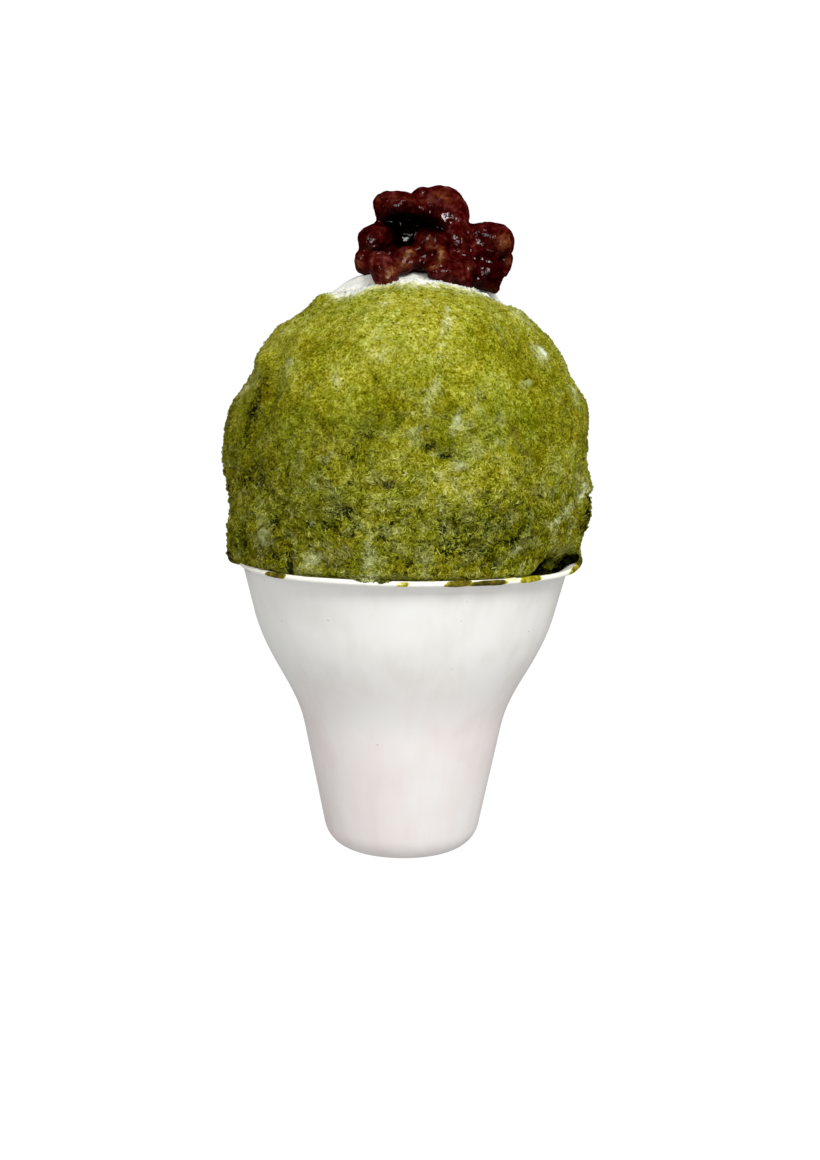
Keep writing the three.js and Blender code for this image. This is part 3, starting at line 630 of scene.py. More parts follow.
def noise(points, size, seed=0):
    """Smooth noise, from about -1 to 1, whose lumps are about size across."""
    scaled = points / size + NOISE_SHIFT
    cell = np.floor(scaled)
    local = scaled - cell
    fade = local**3 * (local * (local * 6 - 15) + 10)
    total = np.zeros(points.shape[:-1])
    for corner in itertools.product((0, 1), repeat=3):
        slope = hashed(cell + corner, seed)
        weight = np.where(corner, fade, 1 - fade).prod(axis=-1)
        total += weight * (slope * (local - corner)).sum(axis=-1)
    return total * NOISE_GAIN


def layered(points, layers, seed, apart=1):
    """Layers of noise, given by size and strength, with seeds that far apart."""
    return sum(
        strength * noise(points, size, seed + apart * k) for k, (size, strength) in enumerate(layers)
    )


def ridges(points, size, seed=0):
    """Noise from 0 to 1 that is 1 along thin winding lines."""
    return np.clip(1 - RIDGE_SHARPNESS * np.abs(noise(points, size, seed)), 0, 1)


def outward(azimuth):
    angle = np.radians(azimuth)
    return np.stack([np.sin(angle), -np.cos(angle), np.zeros_like(angle)], axis=-1)


# ---- Meshes ----


def add_share(mesh, title, values):
    """Keeps a number for each point of a mesh, which its material reads."""
    attribute = mesh.attributes.new(title, "FLOAT", "POINT")
    attribute.data.foreach_set("value", np.asarray(values, np.float32))


def add_mesh(name, points, triangles, **shares):
    """A smooth object from points in millimetres and triangles, with numbers for each point."""
    mesh = bpy.data.meshes.new(name)
    count = len(triangles)
    mesh.vertices.add(len(points))
    mesh.vertices.foreach_set("co", (points * MM).astype(np.float32).ravel())
    mesh.loops.add(count * 3)
    mesh.loops.foreach_set("vertex_index", triangles.astype(np.int32).ravel())
    mesh.polygons.add(count)
    mesh.polygons.foreach_set("loop_start", np.arange(0, count * 3, 3, dtype=np.int32))
    mesh.polygons.foreach_set("use_smooth", np.full(count, True))
    mesh.update(calc_edges=True)
    mesh.validate()
    piece = bpy.data.objects.new(name, mesh)
    bpy.context.scene.collection.objects.link(piece)
    for title, values in shares.items():
        add_share(mesh, title, values)
    return piece


def read(items, title, kind, width=3):
    """One property of all of a mesh's items, with a row for each."""
    values = np.empty(len(items) * width, kind)
    items.foreach_get(title, values)
    return values.reshape(-1, width)


def points_of(mesh):
    return read(mesh.vertices, "co", np.float32).astype(float) / MM


def normals_of(mesh):
    return read(mesh.vertices, "normal", np.float32).astype(float)


def triangles_of(mesh):
    mesh.calc_loop_triangles()
    return read(mesh.loop_triangles, "vertices", np.int32)


def tree_of(points, triangles):
    """A surface in millimetres, for finding where rays meet it."""
    return BVHTree.FromPolygons(points.tolist(), triangles.tolist())


def move_points(mesh, points):
    mesh.vertices.foreach_set("co", (points * MM).astype(np.float32).ravel())
    mesh.update()


def ring_faces(rows, sides, closed_ends=True):
    """Triangles over a grid of rows of points, then fans to one point below and one above."""
    row, side = np.meshgrid(np.arange(rows - 1), np.arange(sides), indexing="ij")
    after = (side + 1) % sides
    low, high = row * sides, (row + 1) * sides
    quads = np.stack([low + side, low + after, high + after, high + side], axis=-1).reshape(-1, 4)
    faces = [quads[:, [0, 1, 2]], quads[:, [0, 2, 3]]]
    if closed_ends:
        side, after = np.arange(sides), (np.arange(sides) + 1) % sides
        last = (rows - 1) * sides
        below, above = rows * sides, rows * sides + 1
        faces.append(np.stack([np.full(sides, below), after, side], axis=-1))
        faces.append(np.stack([np.full(sides, above), last + side, last + after], axis=-1))
    return np.concatenate(faces)


def remeshed(name, source, voxel):
    """A new object: the source's mesh rebuilt from cubes of the given size in millimetres."""
    rough = bpy.data.objects.new(name + "_rough", source.data.copy())
    bpy.context.scene.collection.objects.link(rough)
    remesh = rough.modifiers.new("remesh", "REMESH")
    remesh.mode = "VOXEL"
    remesh.voxel_size = voxel * MM
    depsgraph = bpy.context.evaluated_depsgraph_get()
    mesh = bpy.data.meshes.new_from_object(rough.evaluated_get(depsgraph))
    bpy.data.objects.remove(rough)
    mesh.name = name
    mesh.materials.clear()
    mesh.polygons.foreach_set("use_smooth", np.full(len(mesh.polygons), True))
    piece = bpy.data.objects.new(name, mesh)
    bpy.context.scene.collection.objects.link(piece)
    return piece


def relax(mesh, rounds, bulges=1.0):
    """Moves each point half way to the middle of its neighbours, several times.

    With bulges below 1 the points that would sink move less than those in creases, which rise.
    """
    a, b = read(mesh.edges, "vertices", np.int32, 2).T
    points = points_of(mesh)
    count = len(points)
    degree = np.bincount(a, minlength=count) + np.bincount(b, minlength=count)
    for _ in range(rounds):
        total = np.zeros_like(points)
        for k in range(3):
            total[:, k] = np.bincount(a, points[b, k], count) + np.bincount(b, points[a, k], count)
        step = total / degree[:, None] - points
        if bulges < 1:
            sinks = (step * normals_of(mesh)).sum(axis=1) < 0
            step *= np.where(sinks, bulges, 1)[:, None]
        points += 0.5 * step
        if bulges < 1:
            move_points(mesh, points)
    move_points(mesh, points)


def finish_piece(piece, material, slot, *replaced):
    piece.data.materials.append(material)
    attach(piece, "root")
    if replaced:
        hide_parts(*replaced)


# ---- Materials ----


def put(value, socket):
    """Sets a socket to a number or a colour, or joins it to another node's output."""
    if isinstance(value, bpy.types.NodeSocket):
        socket.id_data.links.new(value, socket)
    else:
        socket.default_value = value


class Nodes:
    """A material's nodes, made and joined with short calls. Sizes are in millimetres."""

    def __init__(self, name):
        self.material = bpy.data.materials.new(name)
        self.material.use_nodes = True
        self.shader = self.material.node_tree.nodes["Principled BSDF"]
        self.place = self.add("ShaderNodeTexCoord").outputs["Object"]

    def add(self, kind, **settings):
        made = self.material.node_tree.nodes.new(kind)
        for key, value in settings.items():
            setattr(made, key, value)
        return made

    def set(self, **values):
        for title, value in values.items():
            put(value, self.shader.inputs[title.replace("_", " ")])

    def share(self, title):
        return self.add("ShaderNodeAttribute", attribute_name=title).outputs["Fac"]

    def noise(self, size, detail=2, roughness=0.5, stretch=(1, 1, 1)):
        """Noise from 0 to 1 whose lumps are about size across."""
        mapping = self.add("ShaderNodeMapping")
        put(self.place, mapping.inputs["Vector"])
        put(stretch, mapping.inputs["Scale"])
        texture = self.add("ShaderNodeTexNoise")
        put(mapping.outputs["Vector"], texture.inputs["Vector"])
        put(1 / (size * MM), texture.inputs["Scale"])
        put(detail, texture.inputs["Detail"])
        put(roughness, texture.inputs["Roughness"])
        return texture.outputs["Fac"]

    def maths(self, operation, *values):
        made = self.add("ShaderNodeMath", operation=operation)
        for value, socket in zip(values, made.inputs):
            put(value, socket)
        return made.outputs["Value"]

    def uneven(self, title, texture, gain, middle=0.5):
        """A share of the mesh, with a texture added to it."""
        off = self.maths("SUBTRACT", texture, middle)
        return self.maths("MULTIPLY_ADD", off, gain, self.share(title))

    def between(self, value, heights):
        """From 0 at the first of two heights to 1 at the second."""
        made = self.add("ShaderNodeMapRange")
        put(value, made.inputs["Value"])
        put(heights[0] * MM, made.inputs["From Min"])
        put(heights[1] * MM, made.inputs["From Max"])
        return made.outputs["Result"]

    def ramp(self, value, colours):
        """The colour at each value, from screen colours by position."""
        made = self.add("ShaderNodeValToRGB")
        elements = made.color_ramp.elements
        while len(elements) < len(colours):
            elements.new(0.5)
        for element, (position, colour) in zip(elements, colours.items()):
            element.position = position
            element.color = srgb(*colour)
        put(value, made.inputs["Fac"])
        return made.outputs["Color"]

    def mix(self, share, first, second, blend="MIX"):
        made = self.add("ShaderNodeMix", data_type="RGBA", blend_type=blend)
        colours = [socket for socket in made.inputs if socket.type == "RGBA"]
        for value, socket in zip((share, first, second), (made.inputs["Factor"], *colours)):
            put(value, socket)
        return next(socket for socket in made.outputs if socket.type == "RGBA")

    def bump(self, height, distance, strength, *sockets):
        made = self.add("ShaderNodeBump")
        put(height, made.inputs["Height"])
        put(distance * MM, made.inputs["Distance"])
        put(strength, made.inputs["Strength"])
        for title in sockets or ("Normal",):
            put(made.outputs["Normal"], self.shader.inputs[title])


def ice_material(name, stipple, grain):
    """Green syrup and tea powder in ice. The share tone goes from dark to bright, frost to icy white."""
    nodes = Nodes(name)
    speck = nodes.noise(grain, roughness=0.6)
    curl = nodes.maths("SUBTRACT", nodes.noise(grain * CURLS["size"], detail=1), 0.5)
    line = nodes.maths("MULTIPLY_ADD", nodes.maths("ABSOLUTE", curl), -CURLS["sharpness"], 1)
    texture = nodes.maths("MULTIPLY_ADD", nodes.maths("MAXIMUM", line, 0), CURLS["height"], speck)
    tone = nodes.uneven("tone", texture, stipple, CURLS["middle"])
    syrup = nodes.mix(nodes.share("hue"), nodes.ramp(tone, OLIVE), nodes.ramp(tone, GREEN))
    colour = nodes.mix(nodes.share("frost"), syrup, nodes.ramp(tone, ICY))
    nodes.set(Base_Color=colour, Roughness=0.6, Specular_IOR_Level=0.02)
    nodes.bump(texture, 0.25, 0.5)
    return nodes.material


def chip_material():
    nodes = Nodes("ice_clear")
    cloud = nodes.noise(1.1, detail=3, roughness=0.6)
    colour = nodes.ramp(nodes.uneven("bright", cloud, 0.9), CHIP_COLOURS)
    nodes.set(Base_Color=colour, Roughness=0.35, Specular_IOR_Level=0.35)
    nodes.bump(cloud, 0.3, 0.6)
    return nodes.material


def cup_material():
    """White pulp, a little pink towards the foot, with soft clouds and a few specks."""
    nodes = Nodes("cup_pulp")
    cloud = nodes.maths("MULTIPLY", nodes.noise(26, detail=3), 0.7)
    streak = nodes.maths("MULTIPLY", nodes.noise(5, stretch=(1, 1, 0.08)), 0.3)
    mottle = nodes.maths("ADD", cloud, streak)
    split = nodes.add("ShaderNodeSeparateXYZ")
    put(nodes.place, split.inputs["Vector"])
    height = split.outputs["Z"]
    share = nodes.between(height, CUP_PINK_HEIGHTS)
    white = nodes.mix(share, nodes.ramp(mottle, CUP_LOWER), nodes.ramp(mottle, CUP_UPPER))
    white = nodes.mix(nodes.between(height, CUP_LIP_HEIGHTS), white, srgb(*CUP_LIP))
    speck = nodes.maths("GREATER_THAN", nodes.noise(1.3, detail=0), CUP_SPECK_LEVEL)
    nodes.set(Base_Color=nodes.mix(speck, white, srgb(*CUP_SPECK)), Roughness=0.5)
    nodes.bump(nodes.noise(1.6, detail=4), 0.05, 0.6)
    return nodes.material


def stain_material():
    nodes = Nodes("syrup")
    tone = nodes.uneven("tone", nodes.noise(1.8, detail=3), 1.4)
    nodes.set(Base_Color=nodes.ramp(tone, SYRUP), Roughness=0.3)
    nodes.bump(nodes.noise(0.8), 0.06, 0.6)
    return nodes.material


def cream_material():
    nodes = Nodes("cream")
    powder = nodes.noise(0.9, detail=3, roughness=0.7)
    tint = nodes.mix(nodes.share("tint"), srgb(*CREAM_WHITE), srgb(*CREAM_GREEN))
    colour = nodes.mix(1, tint, nodes.ramp(powder, CREAM_POWDER), "MULTIPLY")
    nodes.set(Base_Color=colour, Roughness=0.5, Subsurface_Weight=0.25, Subsurface_Scale=0.002)
    nodes.bump(powder, 0.3, 0.7)
    return nodes.material


def bean_material():
    """Wet maroon skins. The share skin differs from bean to bean, starch is where the inside shows."""
    nodes = Nodes("red_bean_skin")
    blotch = nodes.noise(2, detail=4, roughness=0.6)
    grit = nodes.noise(1.2, detail=4, roughness=0.7)
    maroon = nodes.ramp(nodes.uneven("skin", blotch, 1.7), MAROON)
    brown = nodes.ramp(nodes.uneven("starch", grit, 1.7), STARCH)
    colour = nodes.mix(nodes.share("starch"), maroon, brown)
    colour = nodes.mix(nodes.share("shade"), colour, srgb(*DEEP_SHADE))
    coat = nodes.maths("MULTIPLY_ADD", nodes.share("wet"), COAT["wet"], COAT["least"])
    nodes.set(Base_Color=colour, Roughness=0.5, Specular_IOR_Level=0)
    nodes.set(Coat_Weight=coat, Coat_Roughness=0.12)
    nodes.bump(nodes.noise(1.2, stretch=(1.3, 1.3, 0.7)), 0.28, 1, "Normal", "Coat Normal")
    return nodes.material


# ---- Camera and light ----


def camera_axes():
    """The camera's right, up and forward directions."""
    place = np.array(CAMERA["place"])
    pitch = math.atan2(place[2] - CAMERA["aim_z"], -place[1])
    forward = np.array([0, math.cos(pitch), -math.sin(pitch)])
    up = np.array([0, math.sin(pitch), math.cos(pitch)])
    right = np.array([1.0, 0, 0])
    roll = math.radians(CAMERA["roll"])
    return (
        right * math.cos(roll) + up * math.sin(roll),
        up * math.cos(roll) - right * math.sin(roll),
        forward,
    )


def sight_line(x, y):
    """The camera's place and the direction it looks in at a pixel of the photograph's frame."""
    right, up, forward = camera_axes()
    across = (x - PHOTO["width"] / 2) / PHOTO["focal"]
    down = (y - PHOTO["height"] / 2) / PHOTO["focal"]
    return np.array(CAMERA["place"]), unit(forward + right * across - up * down)


def add_camera():
    data = bpy.data.cameras.new("camera")
    data.sensor_width = CAMERA["sensor"]
    data.lens = CAMERA["sensor"] * PHOTO["focal"] / PHOTO["height"]
    camera = bpy.data.objects.new("camera", data)
    right, up, forward = camera_axes()
    turn = Matrix([right, up, -forward]).transposed().to_4x4()
    camera.matrix_world = Matrix.Translation(Vector(CAMERA["place"]) * MM) @ turn
    bpy.context.scene.collection.objects.link(camera)
    bpy.context.scene.camera = camera


def add_light(name, mirrored, place, aim, size, power):
    """A square lamp that only mirroring surfaces show, or only dull ones."""
    data = bpy.data.lights.new(name, "AREA")
    data.size = size * MM
    data.energy = power
    light = bpy.data.objects.new(name, data)
    light.location = Vector(place) * MM
    light.rotation_euler = (Vector(aim) - Vector(place)).to_track_quat("-Z", "Y").to_euler()
    light.visible_glossy = mirrored
    light.visible_diffuse = not mirrored
    bpy.context.scene.collection.objects.link(light)


def add_world():
    """White behind the object, and a dimmer light from all round that is stronger from above."""
    world = bpy.data.worlds.new("studio")
    bpy.context.scene.world = world
    world.use_nodes = True
    nodes = world.node_tree.nodes

    def spread(value, low, high, first=0):
        """From low where the value is first to high where it is 1."""
        made = nodes.new("ShaderNodeMapRange")
        put(value, made.inputs["Value"])
        put(first, made.inputs["From Min"])
        put(low, made.inputs["To Min"])
        put(high, made.inputs["To Max"])
        return made.outputs["Result"]

    rays = nodes.new("ShaderNodeLightPath")
    place = nodes.new("ShaderNodeTexCoord")
    split = nodes.new("ShaderNodeSeparateXYZ")
    put(place.outputs["Generated"], split.inputs["Vector"])
    soft = spread(split.outputs["Z"], SKY["low"], SKY["high"], -1)
    mirrored = spread(rays.outputs["Is Glossy Ray"], soft, SKY["mirrored"])
    seen = spread(rays.outputs["Is Camera Ray"], mirrored, SKY["seen"])
    put((1, 1, 1, 1), nodes["Background"].inputs["Color"])
    put(seen, nodes["Background"].inputs["Strength"])


# ---- Cup ----


def arc(middle, radius, first, last, count):
    angle = np.radians(np.linspace(first, last, count))
    return np.stack([middle[0] + radius * np.cos(angle), middle[1] + radius * np.sin(angle)], axis=-1)


def bezier(first, second, third, fourth, count):
    t = np.linspace(0, 1, count)[:, None]
    s = 1 - t
    return s**3 * first + 3 * s * s * t * second + 3 * s * t * t * third + t**3 * fourth


def wall_line(inset):
    """The cup's wall from the foot to the end of the flare, moved inwards, as radius and height."""
    lean = np.radians([CUP["stem_angle"], CUP["shoulder_angle"]])
    stem_in, shoulder_in = np.stack([-np.cos(lean), np.sin(lean)], axis=-1)
    rise = CUP["collar_z"] - CUP["shoulder"][1]
    collar = np.array([CUP["shoulder"][0] + rise * math.tan(lean[1]), CUP["collar_z"]])
    flare = collar - shoulder_in * CUP["flare_radius"]
    corner = (CUP["foot_radius"], CUP["foot_corner"])
    shoulder = [np.array(CUP[name]) + stem_in * inset for name in ("waist", "waist_pull")]
    shoulder += [np.array(CUP[name]) + shoulder_in * inset for name in ("shoulder_pull", "shoulder")]
    return np.concatenate(
        [
            arc(corner, CUP["foot_corner"] - inset, -90, -CUP["stem_angle"], CUP_ROWS["corner"]),
            bezier(*shoulder, CUP_ROWS["shoulder"]),
            arc(flare, CUP["flare_radius"] + inset, 180 - CUP["shoulder_angle"], 90, CUP_ROWS["flare"]),
        ]
    )


def cup_profile():
    """The closed outline of the cup's wall, up the outside and down the inside."""
    outside = wall_line(0)
    corner = CUP_ROWS["corner"]
    foot_end, waist = outside[corner - 1], outside[corner]
    stem = np.linspace(0, 1, CUP_ROWS["stem"] + 2)[1:-1, None]
    lip = (CUP["lip_radius"], CUP["lip_z"])
    return np.concatenate(
        [
            [[CUP["foot_flat"], 0]],
            outside[:corner],
            foot_end + (waist - foot_end) * stem,
            outside[corner:],
            arc(lip, CUP["bead_radius"], *CUP["bead_span"], CUP_ROWS["bead"]),
            wall_line(CUP["wall"])[::-1],
            [[CUP["foot_flat"], CUP["wall"]]],
        ]
    )


def lip_rise(azimuth):
    """How far the bent lip is above its lowest place."""
    turn = (np.asarray(azimuth) + 180) % 360 - 180
    sides = smooth_step(*LIP_BEND["left"], turn) + smooth_step(*LIP_BEND["right"], turn)
    drop = LIP_BEND["drop"] * smooth_step(*LIP_BEND["back"], np.abs(turn))
    return LIP_BEND["rise"] * sides * (1 - drop)


def make_cup():
    profile = cup_profile()
    azimuth = np.arange(CUP_SIDES) * 360 / CUP_SIDES
    direction = outward(azimuth)
    rings = direction[None] * profile[:, None, :1]
    rings[..., 2] = profile[:, None, 1]

    def above(heights):
        return smooth_step(*heights, rings[..., 2])

    sway = CUP_SWAY["depth"] * noise(rings * (1, 1, 0.5), CUP_SWAY["size"], 3)
    rings += direction[None] * (sway * above(CUP_SWAY["heights"]))[..., None]
    wave = LIP_SWAY["depth"] * noise(direction * LIP_SWAY["radius"], LIP_SWAY["size"], 4)
    rings[..., 2] += wave[None] * above(LIP_SWAY["heights"])
    rings[..., 2] += lip_rise(azimuth)[None] * above(LIP_BEND["heights"])
    pinched = smooth_step(*LIP_PINCH["reach"], np.abs(azimuth - LIP_PINCH["azimuth"]))
    rings[..., :2] *= 1 - LIP_PINCH["share"] * (pinched * above(LIP_PINCH["heights"]))[..., None]
    points = np.concatenate([rings.reshape(-1, 3), [[0, 0, 0], [0, 0, CUP["wall"]]]])
    cup = add_mesh("cup_shell", points, ring_faces(len(profile), CUP_SIDES))
    finish_piece(cup, cup_material(), "cup", "cup")


def make_stains():
    """Thin glossy films over the bead of the lip, with rounded, slanting ends."""
    points, faces, tones, offset = [], [], [], 0
    bead = CUP["bead_radius"]
    for first, last, lean, low, high, thin, tone in STAINS:
        across = np.linspace(low - STAIN["margin"], high + STAIN["margin"], STAIN["rows"])
        steps = max(STAIN["least_steps"], int((last - first) * STAIN["steps"]))
        turn, slope = np.meshgrid(np.linspace(first - 1, last + 1, steps), across, indexing="ij")
        slant = lean * (slope - low - high) / BEAD_TURN
        along = (2 * turn - first - last - slant) / (last - first)
        around = (2 * slope - low - high) / (high - low)
        place = outward(turn) * (CUP["lip_radius"] + bead)
        place[..., 2] = slope / BEAD_TURN
        inside = 1 - np.abs(along) ** 3 - np.abs(around) ** 3 + layered(place, STAIN_WAVES, 5)
        inside -= STAIN["thinning"] * thin
        film = np.clip(STAIN["thickness"] * inside * STAIN["swell"], -STAIN["sunk"], STAIN["thickness"])
        for radius in (bead - STAIN["bed"] + 0 * film, bead + film):
            layer = outward(turn) * (CUP["lip_radius"] + radius * np.cos(np.radians(slope)))[..., None]
            layer[..., 2] = CUP["lip_z"] + radius * np.sin(np.radians(slope)) + lip_rise(turn)
            points.append(layer.reshape(-1, 3))
            tones.append(tone + STAIN["edge"] * smooth_step(*STAIN["fade"], inside).ravel())
        faces.append(shell_faces(steps, len(across)) + offset)
        offset += 2 * steps * len(across)
    tones = np.concatenate(tones)
    stains = add_mesh("syrup_stains", np.concatenate(points), np.concatenate(faces), tone=tones)
    finish_piece(stains, stain_material(), "shaved_ice")


def shell_faces(rows, columns):
    """Triangles of a closed slab between two grids, the second of which is outside."""
    row, column = np.meshgrid(np.arange(rows - 1), np.arange(columns - 1), indexing="ij")
    a = (row * columns + column).ravel()
    b, c, d = a + 1, a + columns + 1, a + columns
    back = rows * columns
    outer = np.concatenate([np.stack([a, d, c], -1), np.stack([a, c, b], -1)]) + back
    inner = np.concatenate([np.stack([a, c, d], -1), np.stack([a, b, c], -1)])
    grid = np.arange(back).reshape(rows, columns)
    edge = np.concatenate([grid[0, :-1], grid[:-1, -1], grid[-1, :0:-1], grid[:0:-1, 0]])
    return np.concatenate([outer, inner, band(edge, np.roll(edge, -1), back)])


def band(edge, after, back):
    """Triangles between an edge and the same edge on the other side, whose points are back later."""
    first = np.stack([edge, edge + back, after + back], -1)
    return np.concatenate([first, np.stack([edge, after + back, after], -1)])


# ---- Ice ----


def cad_tree(frame, node):
    mesh = frame["nodes"][node].data
    return tree_of(points_of(mesh), triangles_of(mesh))


def ice_directions():
    """Elevations from below the lip to the top, and the directions of a grid of points on them."""
    low = np.linspace(BOTTOM_ELEVATION, LIP_ELEVATION, ICE_ROWS["in_cup"], endpoint=False)
    mound = np.linspace(LIP_ELEVATION, CROWN_ELEVATION, ICE_ROWS["mound"])
    crown = np.linspace(CROWN_ELEVATION, 90, ICE_ROWS["crown"] + 1, endpoint=False)[1:]
    elevation = np.concatenate([low, mound, crown])
    azimuth = np.arange(ICE_SIDES) * 360 / ICE_SIDES
    direction = outward(azimuth)[None] * np.cos(np.radians(elevation))[:, None, None]
    direction[..., 2] = np.sin(np.radians(elevation))[:, None]
    return elevation, direction


def blurred(radius, rows_apart, sides_apart):
    """A grid of radii smoothed over a few degrees, to round off the CAD model's facets."""
    total = radius.copy()
    for axis, apart, mode in ((0, rows_apart, "edge"), (1, sides_apart, "wrap")):
        sigma = FACET_BLUR / apart
        reach = int(3 * sigma)
        weights = np.exp(-0.5 * (np.arange(-reach, reach + 1) / sigma) ** 2)
        pad = [(reach, reach) if k == axis else (0, 0) for k in (0, 1)]
        padded = np.pad(total, pad, mode=mode)
        total = np.apply_along_axis(np.convolve, axis, padded, weights / weights.sum(), "valid")
    return total


def ice_surface(tree):
    """The mound's surface as a grid of points, smoothed but without its fine relief."""
    elevation, direction = ice_directions()
    eye = Vector(ICE_EYE)
    distances = [[tree.ray_cast(eye, Vector(d))[3] for d in row] for row in direction.tolist()]
    radius = np.array(distances, float)
    mound = slice(ICE_ROWS["in_cup"], None)
    rows_apart = (CROWN_ELEVATION - LIP_ELEVATION) / ICE_ROWS["mound"]
    soft = radius.copy()
    soft[mound] = blurred(radius[mound], rows_apart, 360 / ICE_SIDES)
    share = smooth_step(*BLUR_FROM, elevation - LIP_ELEVATION)[:, None]
    return elevation, direction, radius * (1 - share) + soft * share


class Patches:
    """Soft spots on a surface, placed by where they show in the photograph's frame."""

    def __init__(self, tree, patches):
        right, up, self.forward = camera_axes()
        self.spots = []
        for x, y, half_width, half_height, turn, strength in patches:
            eye, sight = sight_line(x, y)
            hit, _, _, distance = tree.ray_cast(Vector(eye), Vector(sight))
            if hit is None:
                continue
            angle = math.radians(turn)
            across = right * math.cos(angle) - up * math.sin(angle)
            along = right * math.sin(angle) + up * math.cos(angle)
            scale = distance / PHOTO["focal"]
            wide, high = across / (half_width * scale), along / (half_height * scale)
            self.spots.append((np.array(hit), wide, high, strength))

    def at(self, points, depth=SPOT_REACH):
        """How much each point is in the spots, by their strengths. They reach that far in depth."""
        total = np.zeros(len(points))
        for middle, across, along, strength in self.spots:
            off = points - middle
            apart = (off @ across) ** 2 + (off @ along) ** 2 + (off @ self.forward / depth) ** 2
            total += strength * np.exp(-SPOT_FALL * apart)
        return total

    def ragged(self, points, seed):
        """The same with torn outlines."""
        soft = self.at(points)
        torn = soft * (1 + layered(points, TORN_WAVES, seed))
        return np.clip(soft, 0, 1) * smooth_step(*TORN_EDGE, torn)


class Mound:
    """What the ice's colour and relief are at any point of it."""

    def __init__(self, tree):
        self.pale = Patches(tree, spots(PALE_PATCHES))
        self.dark = Patches(tree, spots(SOAKED_AND_SHADED_HOLLOWS))
        self.broad = Patches(tree, spots(BROAD_TONES_AND_PAINTED_LIGHT))
        self.hues = Patches(tree, spots(BROAD_HUES))
        self.gap_shadows = Patches(tree, spots(GAP_SHADOWS))
        self.swells = Patches(tree, spots(SWELLS))

    def low(self, points):
        """From 0 high up, where powder lies, to 1 low down, where syrup washes it out."""
        return smooth_step(*LOW_HEIGHTS, points[:, 2])

    def behind(self, points):
        """From 0 in front to 1 at the back."""
        return smooth_step(*BACK_FROM, points[:, 1])

    def gap(self, points):
        """From 0 to 1: how much of a gap between the ice and the lip this place is, sunk in and painted
        black as its shadow.
        """
        return np.minimum(self.gap_shadows.at(points), 1)

    def above_line(self, points):
        """How far above the edge of the bare white top each point is, in millimetres."""
        line = np.interp(points[:, 0], SNOW_LINE["x"], SNOW_LINE["z"])
        return points[:, 2] - line + layered(points, SNOW_WAVES, 11)

    def snow(self, points):
        """White at the very top, where hardly any powder lies."""
        return smooth_step(*SNOW_EDGES["snow"], self.above_line(points))

    def dusting(self, points):
        """The pale rim below that white."""
        above = self.above_line(points) + layered(points, DUSTING_WAVES, 13)
        return smooth_step(*SNOW_EDGES["dusting"], above)

    def verge(self, points):
        """Where that rim turns to white."""
        return smooth_step(*SNOW_EDGES["verge"], self.above_line(points))

    def hollow(self, points):
        """From 0 to 1: how much this place is a hollow that syrup has washed out, painted darker as
        shade.
        """
        size, strength = HOLLOW["wander"]
        wander = points + strength * np.stack([noise(points, size, seed) for seed in (21, 22, 23)], -1)
        cloud = noise(wander * (1, 1, HOLLOW["flat"]), HOLLOW["size"], 24)
        cloud += layered(points, HOLLOW_CLOUDS, 25)
        patchy = smooth_step(*HOLLOW["patchy"], cloud)
        patchy *= HOLLOW["front"] + HOLLOW["back"] * self.behind(points)
        pits = smooth_step(*HOLLOW["pitted"], layered(points, PIT_CLOUDS, 27))
        soaked_and_shaded = (patchy + HOLLOW["pits"] * pits) * self.low(points)
        return np.clip(self.dark.ragged(points, 26) + soaked_and_shaded, 0, 1)

    def frost(self, points):
        """From 0, soaked, to 1, icy white."""
        spread = smooth_step(*FROST["spread"], layered(points, FROST_CLOUDS, 31))
        icy = self.pale.ragged(points, 33)
        icy += spread * (FROST["front"] + FROST["back"] * self.behind(points))
        clotted = smooth_step(*FROST["clotted"], layered(points, LOW_FROST_CLOUDS, 34))
        icy += FROST["low"] * self.low(points) * clotted
        icy += FROST["dusting"] * self.dusting(points) ** 2 + FROST["verge"] * self.verge(points)
        return np.clip(np.maximum(icy, self.snow(points)), 0, 1)

    def hue(self, points):
        """From 0, olive, to 1, green."""
        cloud = HUE["base"] + layered(points, HUE_CLOUDS, 41)
        return np.clip(cloud + HUE["spots"] * self.hues.at(points, BROAD_REACH), 0, 1)

    def tone(self, points):
        """From 0, dark, to 1, bright."""
        # Painted light from above: brighter higher up.
        tone = TONE["base"] + TONE["height"] * smooth_step(*TONE_HEIGHTS, points[:, 2])
        tone += TONE["high"] * (1 - self.low(points))
        calm = CALM_FRONT * (1 - self.behind(points))
        tone += layered(points, BROAD_CLOUDS, 43) * (1 - calm)
        # Broad spots: the ice's colour, with painted light on its edges and above the lip, and painted
        # shade.
        tone += layered(points, FINE_CLOUDS, 45) + self.broad.at(points, BROAD_REACH)
        tone += TONE["dusting"] * self.dusting(points) + TONE["verge"] * self.verge(points)
        # Where the ice sinks from the lip it is painted black as shadow.
        return tone + TONE["snow"] * self.snow(points) - GAP_SHADOW_TONE * self.gap(points)

    def shares(self, points, brighter, soaked_and_shaded):
        # Hollows are darker: soaked syrup, and painted shade.
        tone = self.tone(points) + brighter - soaked_and_shaded * self.hollow(points)
        return {"tone": tone, "frost": self.frost(points), "hue": self.hue(points)}

    def relief(self, points):
        """How far the surface stands out, in millimetres."""
        hollow = self.hollow(points)
        low = self.low(points)
        snow = self.snow(points)
        lumps = layered(points, ICE_RELIEF, 51) * (RELIEF["high"] + RELIEF["low"] * low)
        cracks = ridges(points * (1, 1, PIT["flat"]), PIT["size"], 61)
        pits = smooth_step(*PIT["steps"], cracks) * (PIT["least"] + hollow)
        pits *= PIT["depth"] * (PIT["high"] + (1 - PIT["high"]) * low)
        lace = LACE["depth"] * low * noise(points, LACE["size"], 62)
        rough = (lumps + lace - pits - HOLLOW_DEPTH * hollow) * (1 - RELIEF["snow"] * snow)
        return rough - ICE_INSET * (1 - snow) + self.swells.at(points, SWELL_REACH)


